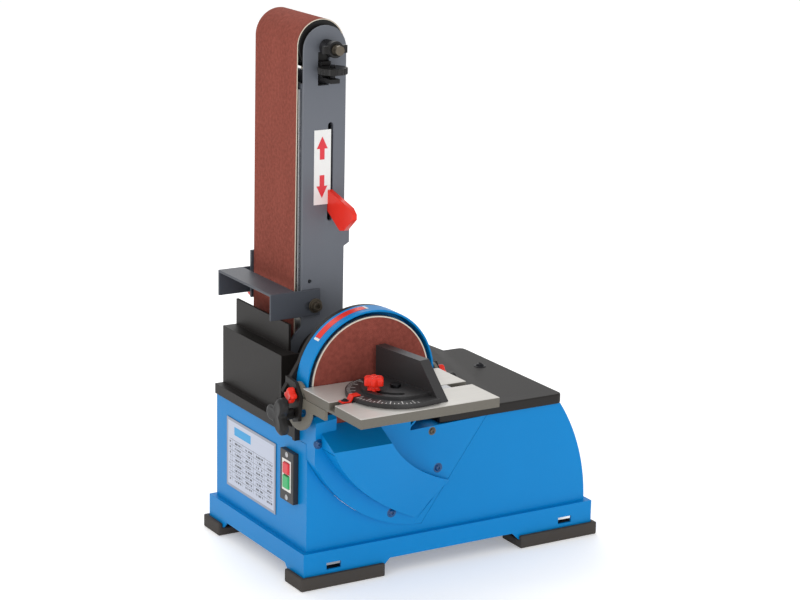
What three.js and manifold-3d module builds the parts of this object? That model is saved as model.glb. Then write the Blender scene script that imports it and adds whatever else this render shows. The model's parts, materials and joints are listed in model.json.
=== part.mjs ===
// Belt and disc sander: a bench machine with a 100 mm belt on an upright arm and a 150 mm disc.
// Units are millimetres, +Z is up, +X runs along the long side and +Y points to the back.
// Everything is laid out from the outer bottom corner of the front left foot, and the whole
// machine is moved at the end so that the origin is the middle of the surface it stands on.
import * as THREE from 'three';
import { mergeVertices } from 'three/addons/utils/BufferGeometryUtils.js';
import { ConvexGeometry } from 'three/addons/geometries/ConvexGeometry.js';
import Module from 'manifold-3d';

const wasm = await Module();
wasm.setup();

// ---------------------------------------------------------------- driving dimensions
const GAP = 0.3; // clearance between faces that touch
const FOOTPRINT = { x: 404, y: 246 };
const FOOT = { height: 15.5, pad: 9.7, legX: 109, legY: 41, lip: 5.1 };
const SHEET = 2.5; // wall of the base housing
const SKIRT = { inset: 5.4, bottom: 10, top: 42, notchTop: 19, notchSlant: 9 };
const BODY = { inset: 12, top: 169, back: 234, right: 391.5, endRadius: 226 };
const AXIS = { x: 89, z: 234 }; // spindle axis, along Y
const DISC = { radius: 75, face: 5.6, plateFront: 6.8, plateBack: 13.6 };
const GUARD = { outer: 82, inner: 79.5, front: 5, back: 29.7, wall: 2.5 };
const BELT = { front: 128, width: 100, drumSide: 32, idlerSide: 30.3, thickness: 1.2, length: 915 };
const DRUM_RADIUS = BELT.drumSide - BELT.thickness - GAP;
const IDLER_RADIUS = BELT.idlerSide - BELT.thickness - GAP;
const CENTRES = (BELT.length - Math.PI * (BELT.drumSide + BELT.idlerSide)) / 2; // drum to idler
const IDLER = { x: AXIS.x, z: AXIS.z + CENTRES };
const ARM = { front: 118, plate: 3, halfWidth: 27, pivotRadius: 47 };
const NOSE = { radius: 24, flange: 30, front: 113, step: 117.7, back: 121.5 }; // the arm swings on it
const LOCK_BOLT = { radius: 38, slot: 9, shank: 4 };
const STOP = { left: 19.5, right: 52, tips: 84, top: 316, depth: 31, front: 114, back: 246, plate: 3 };
const STOP_SCREW = { x: 77, z: 297, shank: 4 };
const TABLE = { left: 1.3, right: 176.3, front: -123.7, back: 4.1, top: 238.3, thick: 11.2 };
const SLOT = { y: -61.2, width: 12, depth: 8 }; // miter slot in the table
const PIVOT = { y: 14, z: 229 }; // table tilt axis, along X
const TRUNNION = { thick: 4, slotRadius: 22, slotWidth: 8.4, tilt: 45, lobeRadius: 30.5 };
const LOCK_ANGLE = -80; // degrees from +Y to the table lock stud, seen along the tilt axis
const MITER = { x: 80.7, y: -61.2, radius: 55, rest: 8.2, knobRadius: 27.4, base: 238.6 };
const COVER_TOP = 181.4;
const SHAFT_RADIUS = 7.5;
const BEARING = { inner: SHAFT_RADIUS + GAP, outer: 17.5, width: 11 };
const MOTOR = { x: 262, z: 97, radius: 52, front: 96, back: 216, shaftRadius: 6 };
const PULLEY = { front: 58, back: 82, driven: 25, motor: 20, flange: 3 };

const rad = THREE.MathUtils.degToRad;

// ---------------------------------------------------------------- finishes
const finish = (color, roughness, metalness) =>
  new THREE.MeshStandardMaterial({ color, roughness, metalness });
const BLUE = finish(0x0a84c8, 0.35, 0.1);
const BLACK = finish(0x2b2826, 0.5, 0.0);
const RUBBER = finish(0x3c3835, 0.85, 0.0);
const SLATE = finish(0x6a7079, 0.45, 0.3);
const DARK_SLATE = finish(0x3c4049, 0.45, 0.3);
const CAST_ALU = finish(0xaaa59f, 0.45, 0.8);
const STEEL = finish(0xa8aaac, 0.3, 0.9);
const ZINC = finish(0xc8ccd0, 0.35, 0.85);
const BLACK_OXIDE = finish(0x26262a, 0.4, 0.6);
const ABRASIVE = finish(0x86433a, 0.95, 0.0);
const RED = finish(0xe8361f, 0.4, 0.0);
const GREEN = finish(0x2fae60, 0.4, 0.0);
const LABEL = finish(0xc9ccd2, 0.4, 0.3);

// ---------------------------------------------------------------- solids
/** Manifold of a closed geometry, turned so that its faces point out. */
function solid(geometry) {
  const bare = geometry.clone();
  for (const name of ['normal', 'uv']) bare.deleteAttribute(name);
  const merged = mergeVertices(bare, 1e-4);
  const vertProperties = Float32Array.from(merged.attributes.position.array);
  const index = Array.from(merged.index.array);
  const kept = index.filter((_, i) => {
    const [a, b, c] = index.slice(i - (i % 3), i - (i % 3) + 3);
    return a !== b && b !== c && c !== a;
  });
  const triVerts = Uint32Array.from(kept);
  const corner = [new THREE.Vector3(), new THREE.Vector3(), new THREE.Vector3()];
  let volume = 0;
  for (let i = 0; i < triVerts.length; i += 3) {
    corner.forEach((point, k) => point.fromArray(vertProperties, 3 * triVerts[i + k]));
    volume += corner[0].dot(corner[1].clone().cross(corner[2]));
  }
  if (volume < 0) triVerts.reverse(); // the faces pointed in
  return new wasm.Manifold(new wasm.Mesh({ numProp: 3, vertProperties, triVerts }));
}

const join = (first, ...others) => others.reduce((sum, part) => sum.add(part), first);
const cut = (first, ...others) => others.reduce((rest, part) => rest.subtract(part), first);

/** Box between two corners, given as x, y and z ranges. */
function box([x0, x1], [y0, y1], [z0, z1]) {
  const geometry = new THREE.BoxGeometry(x1 - x0, y1 - y0, z1 - z0);
  return solid(geometry.translate((x0 + x1) / 2, (y0 + y1) / 2, (z0 + z1) / 2));
}

/** Outline in X and Z, pushed along Y from y0 to y1. */
function alongY(shape, y0, y1, curveSegments = 12) {
  const geometry = new THREE.ExtrudeGeometry(shape, { depth: y1 - y0, bevelEnabled: false, curveSegments });
  return solid(geometry.rotateX(Math.PI / 2).translate(0, y1, 0));
}

/** Outline in Y and Z, pushed along X from x0 to x1. */
function alongX(shape, x0, x1, curveSegments = 12) {
  const geometry = new THREE.ExtrudeGeometry(shape, { depth: x1 - x0, bevelEnabled: false, curveSegments });
  const turn = new THREE.Matrix4().set(0, 0, 1, x0, 1, 0, 0, 0, 0, 1, 0, 0, 0, 0, 0, 1);
  return solid(geometry.applyMatrix4(turn));
}

/** Outline in X and Y, pushed along Z from z0 to z1. */
function alongZ(shape, z0, z1, curveSegments = 12) {
  const geometry = new THREE.ExtrudeGeometry(shape, { depth: z1 - z0, bevelEnabled: false, curveSegments });
  return solid(geometry.translate(0, 0, z0));
}

/** Straight-sided outline through the given points. */
function outline(points) {
  const shape = new THREE.Shape();
  points.forEach(([u, v], i) => (i ? shape.lineTo(u, v) : shape.moveTo(u, v)));
  shape.closePath();
  return shape;
}

/** Cylinder along an axis: centre is the pair of coordinates across that axis. */
function rod(axis, [a, b], radius, from, to, segments = 24) {
  const geometry = new THREE.CylinderGeometry(radius, radius, to - from, segments);
  const middle = (from + to) / 2;
  if (axis === 'x') geometry.rotateZ(Math.PI / 2).translate(middle, a, b);
  if (axis === 'y') geometry.translate(a, middle, b);
  if (axis === 'z') geometry.rotateX(Math.PI / 2).translate(a, b, middle);
  return solid(geometry);
}

/** Body turned about a Y axis line: the profile holds [radius, y] pairs and is closed or ends on the axis. */
function turned([x, z], profile, segments = 32) {
  const onAxis = profile[0][0] === 0;
  const points = [...profile, ...(onAxis ? [] : [profile[0]])].map(([r, y]) => new THREE.Vector2(r, y));
  return solid(new THREE.LatheGeometry(points, segments).translate(x, 0, z));
}

/** Ring or tube about a Y axis line. */
function ring(centre, inner, outer, y0, y1, segments = 32) {
  return turned(centre, [[inner, y0], [outer, y0], [outer, y1], [inner, y1]], segments);
}

/** Points on an arc, from one angle to another in degrees. */
function arcPoints([u, v], radius, from, to, steps) {
  return Array.from({ length: steps + 1 }, (_, i) => {
    const angle = rad(from + ((to - from) * i) / steps);
    return [u + radius * Math.cos(angle), v + radius * Math.sin(angle)];
  });
}

/** Curved slot: an arc band of the given width with round ends. */
function arcSlot(centre, radius, width, from, to, steps = 8) {
  const end = (angle) => arcPoints(centre, radius, angle, angle, 0.5)[0];
  const half = width / 2;
  return outline([
    ...arcPoints(centre, radius + half, from, to, steps),
    ...arcPoints(end(to), half, to, to + 180, 4).slice(1, -1),
    ...arcPoints(centre, radius - half, to, from, steps),
    ...arcPoints(end(from), half, from + 180, from + 360, 4).slice(1, -1),
  ]);
}

/** Straight slot between two points, with round ends. */
function slot([u0, v0], [u1, v1], width) {
  const heading = THREE.MathUtils.radToDeg(Math.atan2(v1 - v0, u1 - u0));
  return outline([
    ...arcPoints([u1, v1], width / 2, heading - 90, heading + 90, 6),
    ...arcPoints([u0, v0], width / 2, heading + 90, heading + 270, 6),
  ]);
}

/** Outline of a knob or star with rounded lobes. */
function lobes([u, v], outer, inner, count, steps = 6) {
  const total = count * steps;
  return outline(Array.from({ length: total }, (_, i) => {
    const angle = (2 * Math.PI * i) / total;
    const radius = (outer + inner) / 2 + ((outer - inner) / 2) * Math.cos(count * angle);
    return [u + radius * Math.cos(angle), v + radius * Math.sin(angle)];
  }));
}

/** Loop round two wheels of the same radius or of two radii, as a closed list of points. */
function loopPoints([x0, z0], r0, [x1, z1], r1, steps = 14) {
  const heading = THREE.MathUtils.radToDeg(Math.atan2(z1 - z0, x1 - x0));
  const lean = THREE.MathUtils.radToDeg(Math.acos((r0 - r1) / Math.hypot(x1 - x0, z1 - z0)));
  return [
    ...arcPoints([x1, z1], r1, heading - lean, heading + lean, steps),
    ...arcPoints([x0, z0], r0, heading + lean, heading + 360 - lean, steps),
  ];
}

const machine = new THREE.Group();

/** Adds a named piece made of one solid. */
function piece(name, body, material) {
  const mesh = body.getMesh();
  const geometry = new THREE.BufferGeometry();
  geometry.setAttribute('position', new THREE.BufferAttribute(Float32Array.from(mesh.vertProperties), 3));
  geometry.setIndex(new THREE.BufferAttribute(Uint32Array.from(mesh.triVerts), 1));
  geometry.computeVertexNormals();
  const node = new THREE.Mesh(geometry, material);
  node.name = name;
  machine.add(node);
}

// ---------------------------------------------------------------- feet
/** Rubber shoe at one corner: a low pad that the skirt stands on and a lip outside it. */
function foot(cornerX, cornerY, dirX, dirY) {
  const span = (corner, dir, from, to) => [corner + dir * from, corner + dir * to].sort((a, b) => a - b);
  const legX = span(cornerX, dirX, 0, FOOT.legX);
  const legY = span(cornerY, dirY, 0, FOOT.legY);
  return join(
    box(legX, legY, [0, FOOT.pad]),
    box(legX, span(cornerY, dirY, 0, FOOT.lip), [0, FOOT.height]),
    box(span(cornerX, dirX, 0, FOOT.lip), legY, [0, FOOT.height]),
  );
}

for (const [side, cornerX, dirX] of [['left', 0, 1], ['right', FOOTPRINT.x, -1]]) {
  piece(`foot_front_${side}`, foot(cornerX, 0, dirX, 1), RUBBER);
  piece(`foot_rear_${side}`, foot(cornerX, FOOTPRINT.y, dirX, -1), RUBBER);
}

// ---------------------------------------------------------------- base housing
/** Front view of the body: square on the left, a bowed end on the right. */
function bodyOutline(inset) {
  const radius = BODY.endRadius - inset;
  const centre = [BODY.right - BODY.endRadius, SKIRT.top];
  const top = BODY.top - inset;
  const topAngle = THREE.MathUtils.radToDeg(Math.asin((top - SKIRT.top) / radius));
  return outline([
    [BODY.inset + inset, SKIRT.top - SHEET],
    [BODY.right - inset, SKIRT.top - SHEET],
    ...arcPoints(centre, radius, 0, topAngle, 14),
    [BODY.inset + inset, top],
  ]);
}

// The front panel fills an opening in the housing: an arc at the lower left, a slanted seam on
// the right. The arc's centre lies above the housing.
const PANEL = {
  arcX: 180, arcZ: 240, arcRadius: 190, seamX: 163, seamTopX: 249, cheekTop: 205, cheekRight: 40,
  browRight: 141, browTop: 187,
};

/** Edge of the front panel, drawn smaller by the given inset. */
function panelOutline(inset, top = BODY.top) {
  const radius = PANEL.arcRadius - inset;
  const left = BODY.inset + inset;
  const angleOf = (x) => 360 - THREE.MathUtils.radToDeg(Math.acos((x - PANEL.arcX) / radius));
  const lower = arcPoints([PANEL.arcX, PANEL.arcZ], radius, angleOf(left), angleOf(PANEL.seamX - inset), 16);
  const [footX, footZ] = lower[lower.length - 1];
  const slope = (PANEL.seamTopX - PANEL.seamX) / (BODY.top - 50.8);
  return outline([...lower, [footX + slope * (top - footZ), top], [left, top]]);
}

/** Loop that the drive belt needs to run in, grown by a margin. */
const beltPath = (margin) => outline(loopPoints(
  [AXIS.x, AXIS.z], PULLEY.driven + PULLEY.flange + margin,
  [MOTOR.x, MOTOR.z], PULLEY.motor + PULLEY.flange + margin,
));
const beltTunnel = alongY(beltPath(4), PULLEY.front - 1.5, PULLEY.back + 1.5);
const guardSpace = rod('y', [AXIS.x, AXIS.z], GUARD.outer + 0.5, GUARD.front - 0.4, GUARD.back + 0.5, 64);
const DUST_DROP = { x: [26, 76], y: [124, 226] }; // opening under the belt

function baseHousing() {
  const skirtX = [SKIRT.inset, FOOTPRINT.x - SKIRT.inset];
  const skirtY = [SKIRT.inset, FOOTPRINT.y - SKIRT.inset];
  const inner = ([from, to]) => [from + SHEET, to - SHEET];
  const shell = cut(
    join(box(skirtX, skirtY, [SKIRT.bottom, SKIRT.top]), alongY(bodyOutline(0), BODY.inset, BODY.back)),
    box(inner(skirtX), inner(skirtY), [0, SKIRT.top - SHEET]),
    alongY(bodyOutline(SHEET), BODY.inset + SHEET, BODY.back - SHEET),
    box([BODY.inset + SHEET, BODY.right - SHEET], [BODY.inset + SHEET, BODY.back - SHEET], [30, 45]),
  );
  const notch = (length, leg) => outline([
    [leg, 0],
    [leg, SKIRT.bottom],
    [leg + SKIRT.notchSlant, SKIRT.notchTop],
    [length - leg - SKIRT.notchSlant, SKIRT.notchTop],
    [length - leg, SKIRT.bottom],
    [length - leg, 0],
  ]);
  const openings = [
    alongY(notch(FOOTPRINT.x, FOOT.legX), -5, FOOTPRINT.y + 5),
    alongX(notch(FOOTPRINT.y, FOOT.legY), -5, FOOTPRINT.x + 5),
    alongY(panelOutline(0, BODY.top + 5), 0, BODY.inset + SHEET + 0.1),
    guardSpace,
    beltTunnel,
    box(DUST_DROP.x, DUST_DROP.y, [160, 175]),
    box([5, 20], [34.5, 58.5], [99, 147]), // switch
    rod('y', [60, 72], 7.3, BODY.back - 5, BODY.back + 5), // cord gland
    rod('y', [100, 105], 26.3, BODY.back - 5, BODY.back + 5), // dust port
  ];
  for (const x of [44.3, 360.3]) {
    openings.push(box([x - 9.4, x + 9.4], [0, 12], [19.5, 27.5])); // carrying slots
  }
  for (let i = 0; i < 6; i += 1) {
    openings.push(box([225, 300], [BODY.back - 5, BODY.back + 5], [72 + 11 * i, 76 + 11 * i])); // vents
  }
  return cut(shell, ...openings);
}
piece('base_housing', baseHousing(), BLUE);

// ---------------------------------------------------------------- front panel with dust scoop
// The panel's face leans out towards its top left corner, and a scoop stands out of it to catch
// the dust that the disc throws down. The scoop bends to the right as it fades into the panel.
const SCOOP = { left: 20, right: 94, lipY: -35, lipZ: 172, backY: 8, backZ: 193, wall: 2.5 };

/** Big block whose face passes through a point, with everything on the side of -normal. */
function halfSpace([x, y, z], normal) {
  const size = 900;
  const block = new THREE.BoxGeometry(size, size, size).translate(0, 0, -size / 2);
  const turn = new THREE.Quaternion().setFromUnitVectors(new THREE.Vector3(0, 0, 1), normal);
  return solid(block.applyQuaternion(turn).translate(x, y, z));
}

/** Point of a quadratic curve through two ends, pulled towards a handle. */
const bend = ([u0, v0], [u1, v1], [u2, v2], t) => [
  (1 - t) ** 2 * u0 + 2 * t * (1 - t) * u1 + t ** 2 * u2,
  (1 - t) ** 2 * v0 + 2 * t * (1 - t) * v1 + t ** 2 * v2,
];

/** Chute of the scoop: sections from the lip down to where it meets the panel. */
function chute(inset, back) {
  const steps = 10;
  const vertices = [];
  const faces = [];
  for (let i = 0; i <= steps; i += 1) {
    const t = i / steps;
    const [leftX, leftZ] = bend([SCOOP.left, SCOOP.lipZ], [54, 108], [152, 61], t);
    const [rightX, rightZ] = bend([SCOOP.right, SCOOP.lipZ], [130, 125], [198, 99], t);
    const across = new THREE.Vector2(rightX - leftX, rightZ - leftZ).normalize().multiplyScalar(inset);
    const y = SCOOP.lipY + inset + t * 44;
    vertices.push(leftX + across.x, y, leftZ + across.y, rightX - across.x, y, rightZ - across.y);
    vertices.push(rightX - across.x, back, rightZ - across.y, leftX + across.x, back, leftZ + across.y);
  }
  for (let i = 0; i < steps; i += 1) {
    for (let k = 0; k < 4; k += 1) {
      const [a, b] = [4 * i + k, 4 * i + ((k + 1) % 4)];
      faces.push(a, b, a + 4, b, b + 4, a + 4);
    }
  }
  const last = 4 * steps;
  faces.push(0, 2, 1, 0, 3, 2, last, last + 1, last + 2, last, last + 2, last + 3);
  const geometry = new THREE.BufferGeometry();
  geometry.setAttribute('position', new THREE.Float32BufferAttribute(vertices, 3));
  geometry.setIndex(faces);
  return solid(geometry);
}

function frontPanel() {
  const normal = new THREE.Vector3(0.0744, -1, -0.0542).normalize();
  const cheekX = (inset) => [BODY.inset + inset, PANEL.cheekRight - inset];
  const cheek = (inset) => join(
    box(cheekX(inset), [-12, BODY.inset + SHEET], [155, 175]),
    box(cheekX(inset), [-12, GUARD.back], [BODY.top + GAP, PANEL.cheekTop - inset]),
  );
  const face = (inset) => halfSpace([BODY.inset, -5 + inset, 157], normal);
  // the cheek's top corner is bevelled so that the tilted table stays clear of it
  const bevel = (inset) => halfSpace([0, -1.2 + inset * 1.4, 205], new THREE.Vector3(0, -1, 1).normalize());
  const blank = join(
    alongY(panelOutline(GAP), -12, BODY.inset + SHEET).intersect(face(0)),
    cheek(GAP).intersect(face(0)).intersect(bevel(0)),
  );
  const hollow = join(
    alongY(panelOutline(SCOOP.wall + GAP, BODY.top - SCOOP.wall), -12, 30).intersect(face(SCOOP.wall)),
    cheek(SCOOP.wall + GAP).intersect(face(SCOOP.wall)).intersect(bevel(SCOOP.wall)),
    box(cheekX(SCOOP.wall + GAP), [20, 40], [155, PANEL.cheekTop - SCOOP.wall]),
  );
  const hood = (inset) => alongX(outline([
    [SCOOP.lipY + inset, SCOOP.lipZ - 2 * inset],
    [SCOOP.lipY + inset, SCOOP.lipZ - inset * 0.8],
    [SCOOP.backY, SCOOP.backZ - inset * 1.1],
    [BODY.inset + SHEET + 6 * Math.sign(inset), SCOOP.backZ - inset * 1.1],
    [BODY.inset + SHEET + 6 * Math.sign(inset), SCOOP.lipZ - 2 * inset],
  ]), SCOOP.left + inset, SCOOP.right - inset);
  // right of the chute a low wall stands in front of the lower edge of the disc
  const brow = cut(
    box([SCOOP.right - SCOOP.wall, PANEL.browRight], [-12, 12], [BODY.top - 1, PANEL.browTop]).intersect(face(0)),
    face(SCOOP.wall),
  );
  const opening = alongY(panelOutline(GAP), -60, BODY.inset + SHEET);
  const outer = join(blank, brow, chute(0, BODY.inset - 0.4), chute(0, BODY.inset + SHEET).intersect(opening), hood(0));
  return cut(outer, hollow, chute(SCOOP.wall, 30), hood(SCOOP.wall), guardSpace);
}
piece('front_panel', frontPanel(), BLUE);

// ---------------------------------------------------------------- disc and its guard
const SPINDLE = [AXIS.x, AXIS.z];

piece('disc_guard', cut(
  turned(SPINDLE, [
    [22, GUARD.back - 2],
    [GUARD.inner, GUARD.back - 2],
    [GUARD.inner, GUARD.front],
    [GUARD.outer, GUARD.front],
    [GUARD.outer, GUARD.back],
    [22, GUARD.back],
  ], 64),
  box([AXIS.x - 28, AXIS.x + 28], [-5, GUARD.back - 4], [140, 165]), // dust drops through here
), BLUE);

piece('disc_plate', turned(SPINDLE, [
  [0, DISC.plateFront],
  [DISC.radius, DISC.plateFront],
  [DISC.radius, DISC.plateBack],
  [18, DISC.plateBack],
  [18, 25],
  [BEARING.inner, 25],
  [BEARING.inner, 9.7],
  [0, 9.7],
], 64), CAST_ALU);
piece('abrasive_disc', rod('y', SPINDLE, DISC.radius - 0.4, DISC.face, DISC.plateFront - GAP, 64), ABRASIVE);

// ---------------------------------------------------------------- spindle line
piece('spindle_shaft', rod('y', SPINDLE, SHAFT_RADIUS, 10, 226, 32), STEEL);
piece('bearing_front', ring(SPINDLE, BEARING.inner, BEARING.outer, 37, 37 + BEARING.width), STEEL);
piece('bearing_rear', ring(SPINDLE, BEARING.inner, BEARING.outer, 93.7, 93.7 + BEARING.width), STEEL);

/** Flanged pulley with a flat groove. */
function pulley(centre, bore, groove) {
  const rim = groove + PULLEY.flange;
  return turned(centre, [
    [bore, PULLEY.front],
    [rim, PULLEY.front],
    [rim, PULLEY.front + 3],
    [groove, PULLEY.front + 3],
    [groove, PULLEY.back - 3],
    [rim, PULLEY.back - 3],
    [rim, PULLEY.back],
    [bore, PULLEY.back],
  ]);
}
const MOTOR_AXIS = [MOTOR.x, MOTOR.z];
piece('driven_pulley', pulley(SPINDLE, BEARING.inner, PULLEY.driven), STEEL);
piece('motor_pulley', pulley(MOTOR_AXIS, MOTOR.shaftRadius + GAP, PULLEY.motor), STEEL);

/** Endless band round two wheels, of the given thickness outside the inner radii. */
function band(from, innerFrom, to, innerTo, thickness, y0, y1, steps) {
  const loop = (grow) => outline(loopPoints(from, innerFrom + grow, to, innerTo + grow, steps));
  return cut(alongY(loop(thickness), y0, y1), alongY(loop(0), y0 - 1, y1 + 1));
}
piece('transmission_belt', band(
  SPINDLE, PULLEY.driven + GAP, MOTOR_AXIS, PULLEY.motor + GAP, 3, PULLEY.front + 3.5, PULLEY.back - 3.5, 12,
), BLACK);

// ---------------------------------------------------------------- motor
piece('motor_shaft', rod('y', MOTOR_AXIS, MOTOR.shaftRadius, 56, MOTOR.front - GAP), STEEL);
piece('motor_body', rod('y', MOTOR_AXIS, MOTOR.radius, MOTOR.front, MOTOR.back, 40), SLATE);
piece('motor_bracket', cut(
  join(box([215, 309], [91.7, 95.7], [62, 166.2]), box([215, 309], [91.7, 130], [163, 166.2])),
  rod('y', MOTOR_AXIS, 9, 85, 100),
), STEEL);

// ---------------------------------------------------------------- castings
const MIDDLE = (TABLE.left + TABLE.right) / 2;
const mirrored = (x) => 2 * MIDDLE - x;
const lockStud = [
  PIVOT.y + TRUNNION.slotRadius * Math.cos(rad(LOCK_ANGLE)),
  PIVOT.z + TRUNNION.slotRadius * Math.sin(rad(LOCK_ANGLE)),
];
// below the height called swing the plate is held back so that the trunnions can swing past it
const CASTING = { front: 30, back: 36, radius: 81.6, foot: BODY.top + GAP, ear: 4, swing: 226.5 };

function frontCasting() {
  const plate = alongY(outline([
    ...arcPoints([MIDDLE, AXIS.z], CASTING.radius, 19.3, 160.7, 28),
    [-9, 229],
    [-6, CASTING.swing],
    [6, CASTING.swing],
    [6, CASTING.foot],
    [mirrored(6), CASTING.foot],
    [mirrored(6), CASTING.swing],
    [mirrored(-6), CASTING.swing],
    [mirrored(-9), 229],
  ]), CASTING.front, CASTING.back);
  const earShape = outline([
    [36, 219], [36, 245], [14, 243], [2, 229], [6, 200], [17.8, 196.5], [28, 205], [30, 219],
  ]);
  const ear = (x0, x1) => alongX(earShape, x0, x1);
  return cut(
    join(
      plate,
      ear(TABLE.left - GAP - CASTING.ear, TABLE.left - GAP),
      ear(TABLE.right + GAP, TABLE.right + GAP + CASTING.ear),
      rod('y', SPINDLE, 23, CASTING.front + 2, 50, 40),
    ),
    rod('y', SPINDLE, BEARING.outer + GAP, 36.7, 55, 32),
    rod('y', SPINDLE, 12, 20, 40, 32),
    box([5.8, 10], [28, 38], [200, CASTING.swing]),
    box([mirrored(10), mirrored(5.8)], [28, 38], [200, CASTING.swing]),
    rod('x', [PIVOT.y, PIVOT.z], 4.3, -20, 200),
    rod('x', lockStud, 4.3, -20, 200),
  );
}
piece('front_casting', frontCasting(), BLACK);

const HOOD = {
  radius: 36, wall: 4, right: 196.7, shoulder: 195, front: CASTING.back + GAP, rear: 105,
  step: 171.3, stepBack: 55.5, // right of the step the cover starts further back, clear of the trunnion
};

/** Front view of the cover over the spindle and the drive belt. */
function hoodOutline(inset) {
  const radius = HOOD.radius - inset;
  const foot = COVER_TOP + GAP - (inset ? 10 : 0);
  return outline([
    [HOOD.right - inset, foot],
    [HOOD.right - inset, HOOD.shoulder - inset],
    ...arcPoints(SPINDLE, radius, 48, 180, 16),
    [AXIS.x - radius, foot],
  ]);
}
const lockBolt = [AXIS.x, AXIS.z - LOCK_BOLT.radius];
piece('spindle_housing', cut(
  join(
    cut(
      alongY(hoodOutline(0), HOOD.front, NOSE.front),
      box([HOOD.step, 210], [30, HOOD.stepBack], [170, 240]),
      cut(alongY(hoodOutline(HOOD.wall), 20, HOOD.rear),
        box([HOOD.step - HOOD.wall, 210], [10, HOOD.stepBack + HOOD.wall - 1], [160, 240])),
    ),
    rod('y', SPINDLE, BEARING.outer + 5, 93, HOOD.rear + 1, 32),
    rod('y', SPINDLE, NOSE.flange, NOSE.front - 1, NOSE.step, 40),
    rod('y', SPINDLE, NOSE.radius, NOSE.front - 1, NOSE.back, 40),
    rod('y', lockBolt, 9.5, NOSE.front - 1, NOSE.step),
  ),
  rod('y', SPINDLE, BEARING.outer + GAP, 90, HOOD.rear, 32),
  rod('y', SPINDLE, 10, 90, 130, 32),
  rod('y', lockBolt, LOCK_BOLT.shank + GAP, 100, 130),
  alongY(beltPath(1.5), PULLEY.front + 1, PULLEY.back - 1), // the drive belt leaves low on the right
), BLACK);
piece('arm_lock_bolt', join(
  rod('y', lockBolt, LOCK_BOLT.shank, 106, 122),
  rod('y', lockBolt, 7.5, ARM.front + ARM.plate + GAP, 125, 6),
), BLACK_OXIDE);

// ---------------------------------------------------------------- top cover
const PLATEAU = { left: 197, top: 195 };

/** Convex body through its corner points. */
const hull = (points) => solid(new ConvexGeometry(points.map(([x, y, z]) => new THREE.Vector3(x, y, z))));

/** Rectangle with rounded corners in X and Y. */
function roundedRectangle([x0, x1], [y0, y1], r) {
  return outline([
    ...arcPoints([x1 - r, y0 + r], r, 270, 360, 4),
    ...arcPoints([x1 - r, y1 - r], r, 0, 90, 4),
    ...arcPoints([x0 + r, y1 - r], r, 90, 180, 4),
    ...arcPoints([x0 + r, y0 + r], r, 180, 270, 4),
  ]);
}
const coverFoot = BODY.top + GAP;
const PLATE_SPLIT = 120.4; // the belt housing's flange ends here and the top cover begins
piece('top_cover', cut(
  join(
    alongZ(roundedRectangle([PLATE_SPLIT + GAP, 354], [9, 231], 8), coverFoot, COVER_TOP),
    hull([
      ...[[PLATEAU.left, 38], [275, 38], [283, 84], [323, 229], [PLATEAU.left, 229]]
        .map(([x, y]) => [x, y, COVER_TOP - 3]),
      ...[[PLATEAU.left, 38], [275, 38], [283, 84], [323, 229], [PLATEAU.left, 229]]
        .map(([x, y]) => [x, y, COVER_TOP]),
      ...[[PLATEAU.left, 44], [250, 44], [258, 88], [297, 224], [PLATEAU.left, 224]]
        .map(([x, y]) => [x, y, PLATEAU.top]),
    ]),
  ),
  box([100, mirrored(6) + GAP], [0, CASTING.back + GAP], [160, 200]), // the front casting stands here
  box([100, 183], [0, CASTING.front], [160, 200]),
  alongY(beltPath(5), PULLEY.front - 3, PULLEY.back + 3),
), BLACK);

// ---------------------------------------------------------------- belt housing
const CHEST = { left: 20, right: 51.5, wall: 3, front: 88.4, back: 234, ledge: 251, crown: 282, crownLeft: 37 };
const BRIM = { x: [9.5, PLATE_SPLIT], y: [CASTING.back + GAP, CHEST.back] };
piece('belt_housing', cut(
  join(
    box(BRIM.x, BRIM.y, [coverFoot, COVER_TOP]),
    box([CHEST.left, CHEST.left + CHEST.wall], [CHEST.front, CHEST.back], [175, CHEST.ledge]),
    box([CHEST.left, CHEST.right], [CHEST.front, CHEST.front + CHEST.wall], [175, CHEST.ledge]),
    box([CHEST.left, CHEST.right], [CHEST.back - CHEST.wall, CHEST.back], [175, CHEST.ledge]),
    box([CHEST.left, CHEST.crownLeft + CHEST.wall], [CHEST.front, CHEST.back], [CHEST.ledge - 3, CHEST.ledge]),
    box([CHEST.crownLeft, CHEST.crownLeft + CHEST.wall], [103, 233], [CHEST.ledge - 3, CHEST.crown]),
    hull([
      [CHEST.left - 8.5, 96, COVER_TOP - 2], [CHEST.left + 1, 96, COVER_TOP - 2],
      [CHEST.left - 8.5, 99, COVER_TOP - 2], [CHEST.left + 1, 99, COVER_TOP - 2],
      [CHEST.left, 96, 200], [CHEST.left + 1, 96, 200], [CHEST.left, 99, 200], [CHEST.left + 1, 99, 200],
    ]),
  ),
  box(DUST_DROP.x, DUST_DROP.y, [160, 190]),
  alongY(beltPath(5), PULLEY.front - 3, PULLEY.back + 3),
), BLACK);

// ---------------------------------------------------------------- fittings on the base
piece('dust_port', turned([100, 105], [
  [23, BODY.back - 6],
  [26, BODY.back - 6],
  [26, BODY.back + GAP],
  [35, BODY.back + GAP],
  [35, BODY.back + 3.3],
  [30, BODY.back + 3.3],
  [30, BODY.back + 28],
  [26.5, BODY.back + 28],
], 40), BLACK);
piece('cord_gland', turned([60, 72], [
  [3.5, BODY.back - 6],
  [7, BODY.back - 6],
  [7, BODY.back + GAP],
  [11, BODY.back + GAP],
  [11, BODY.back + 4],
  [8, BODY.back + 10],
  [3.5, BODY.back + 10],
]), BLACK);
const WALL_FACE = BODY.inset - GAP; // pieces on the left wall end here
piece('rating_plate', box([WALL_FACE - 0.8, WALL_FACE], [84, 206], [64, 149]), LABEL);

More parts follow.
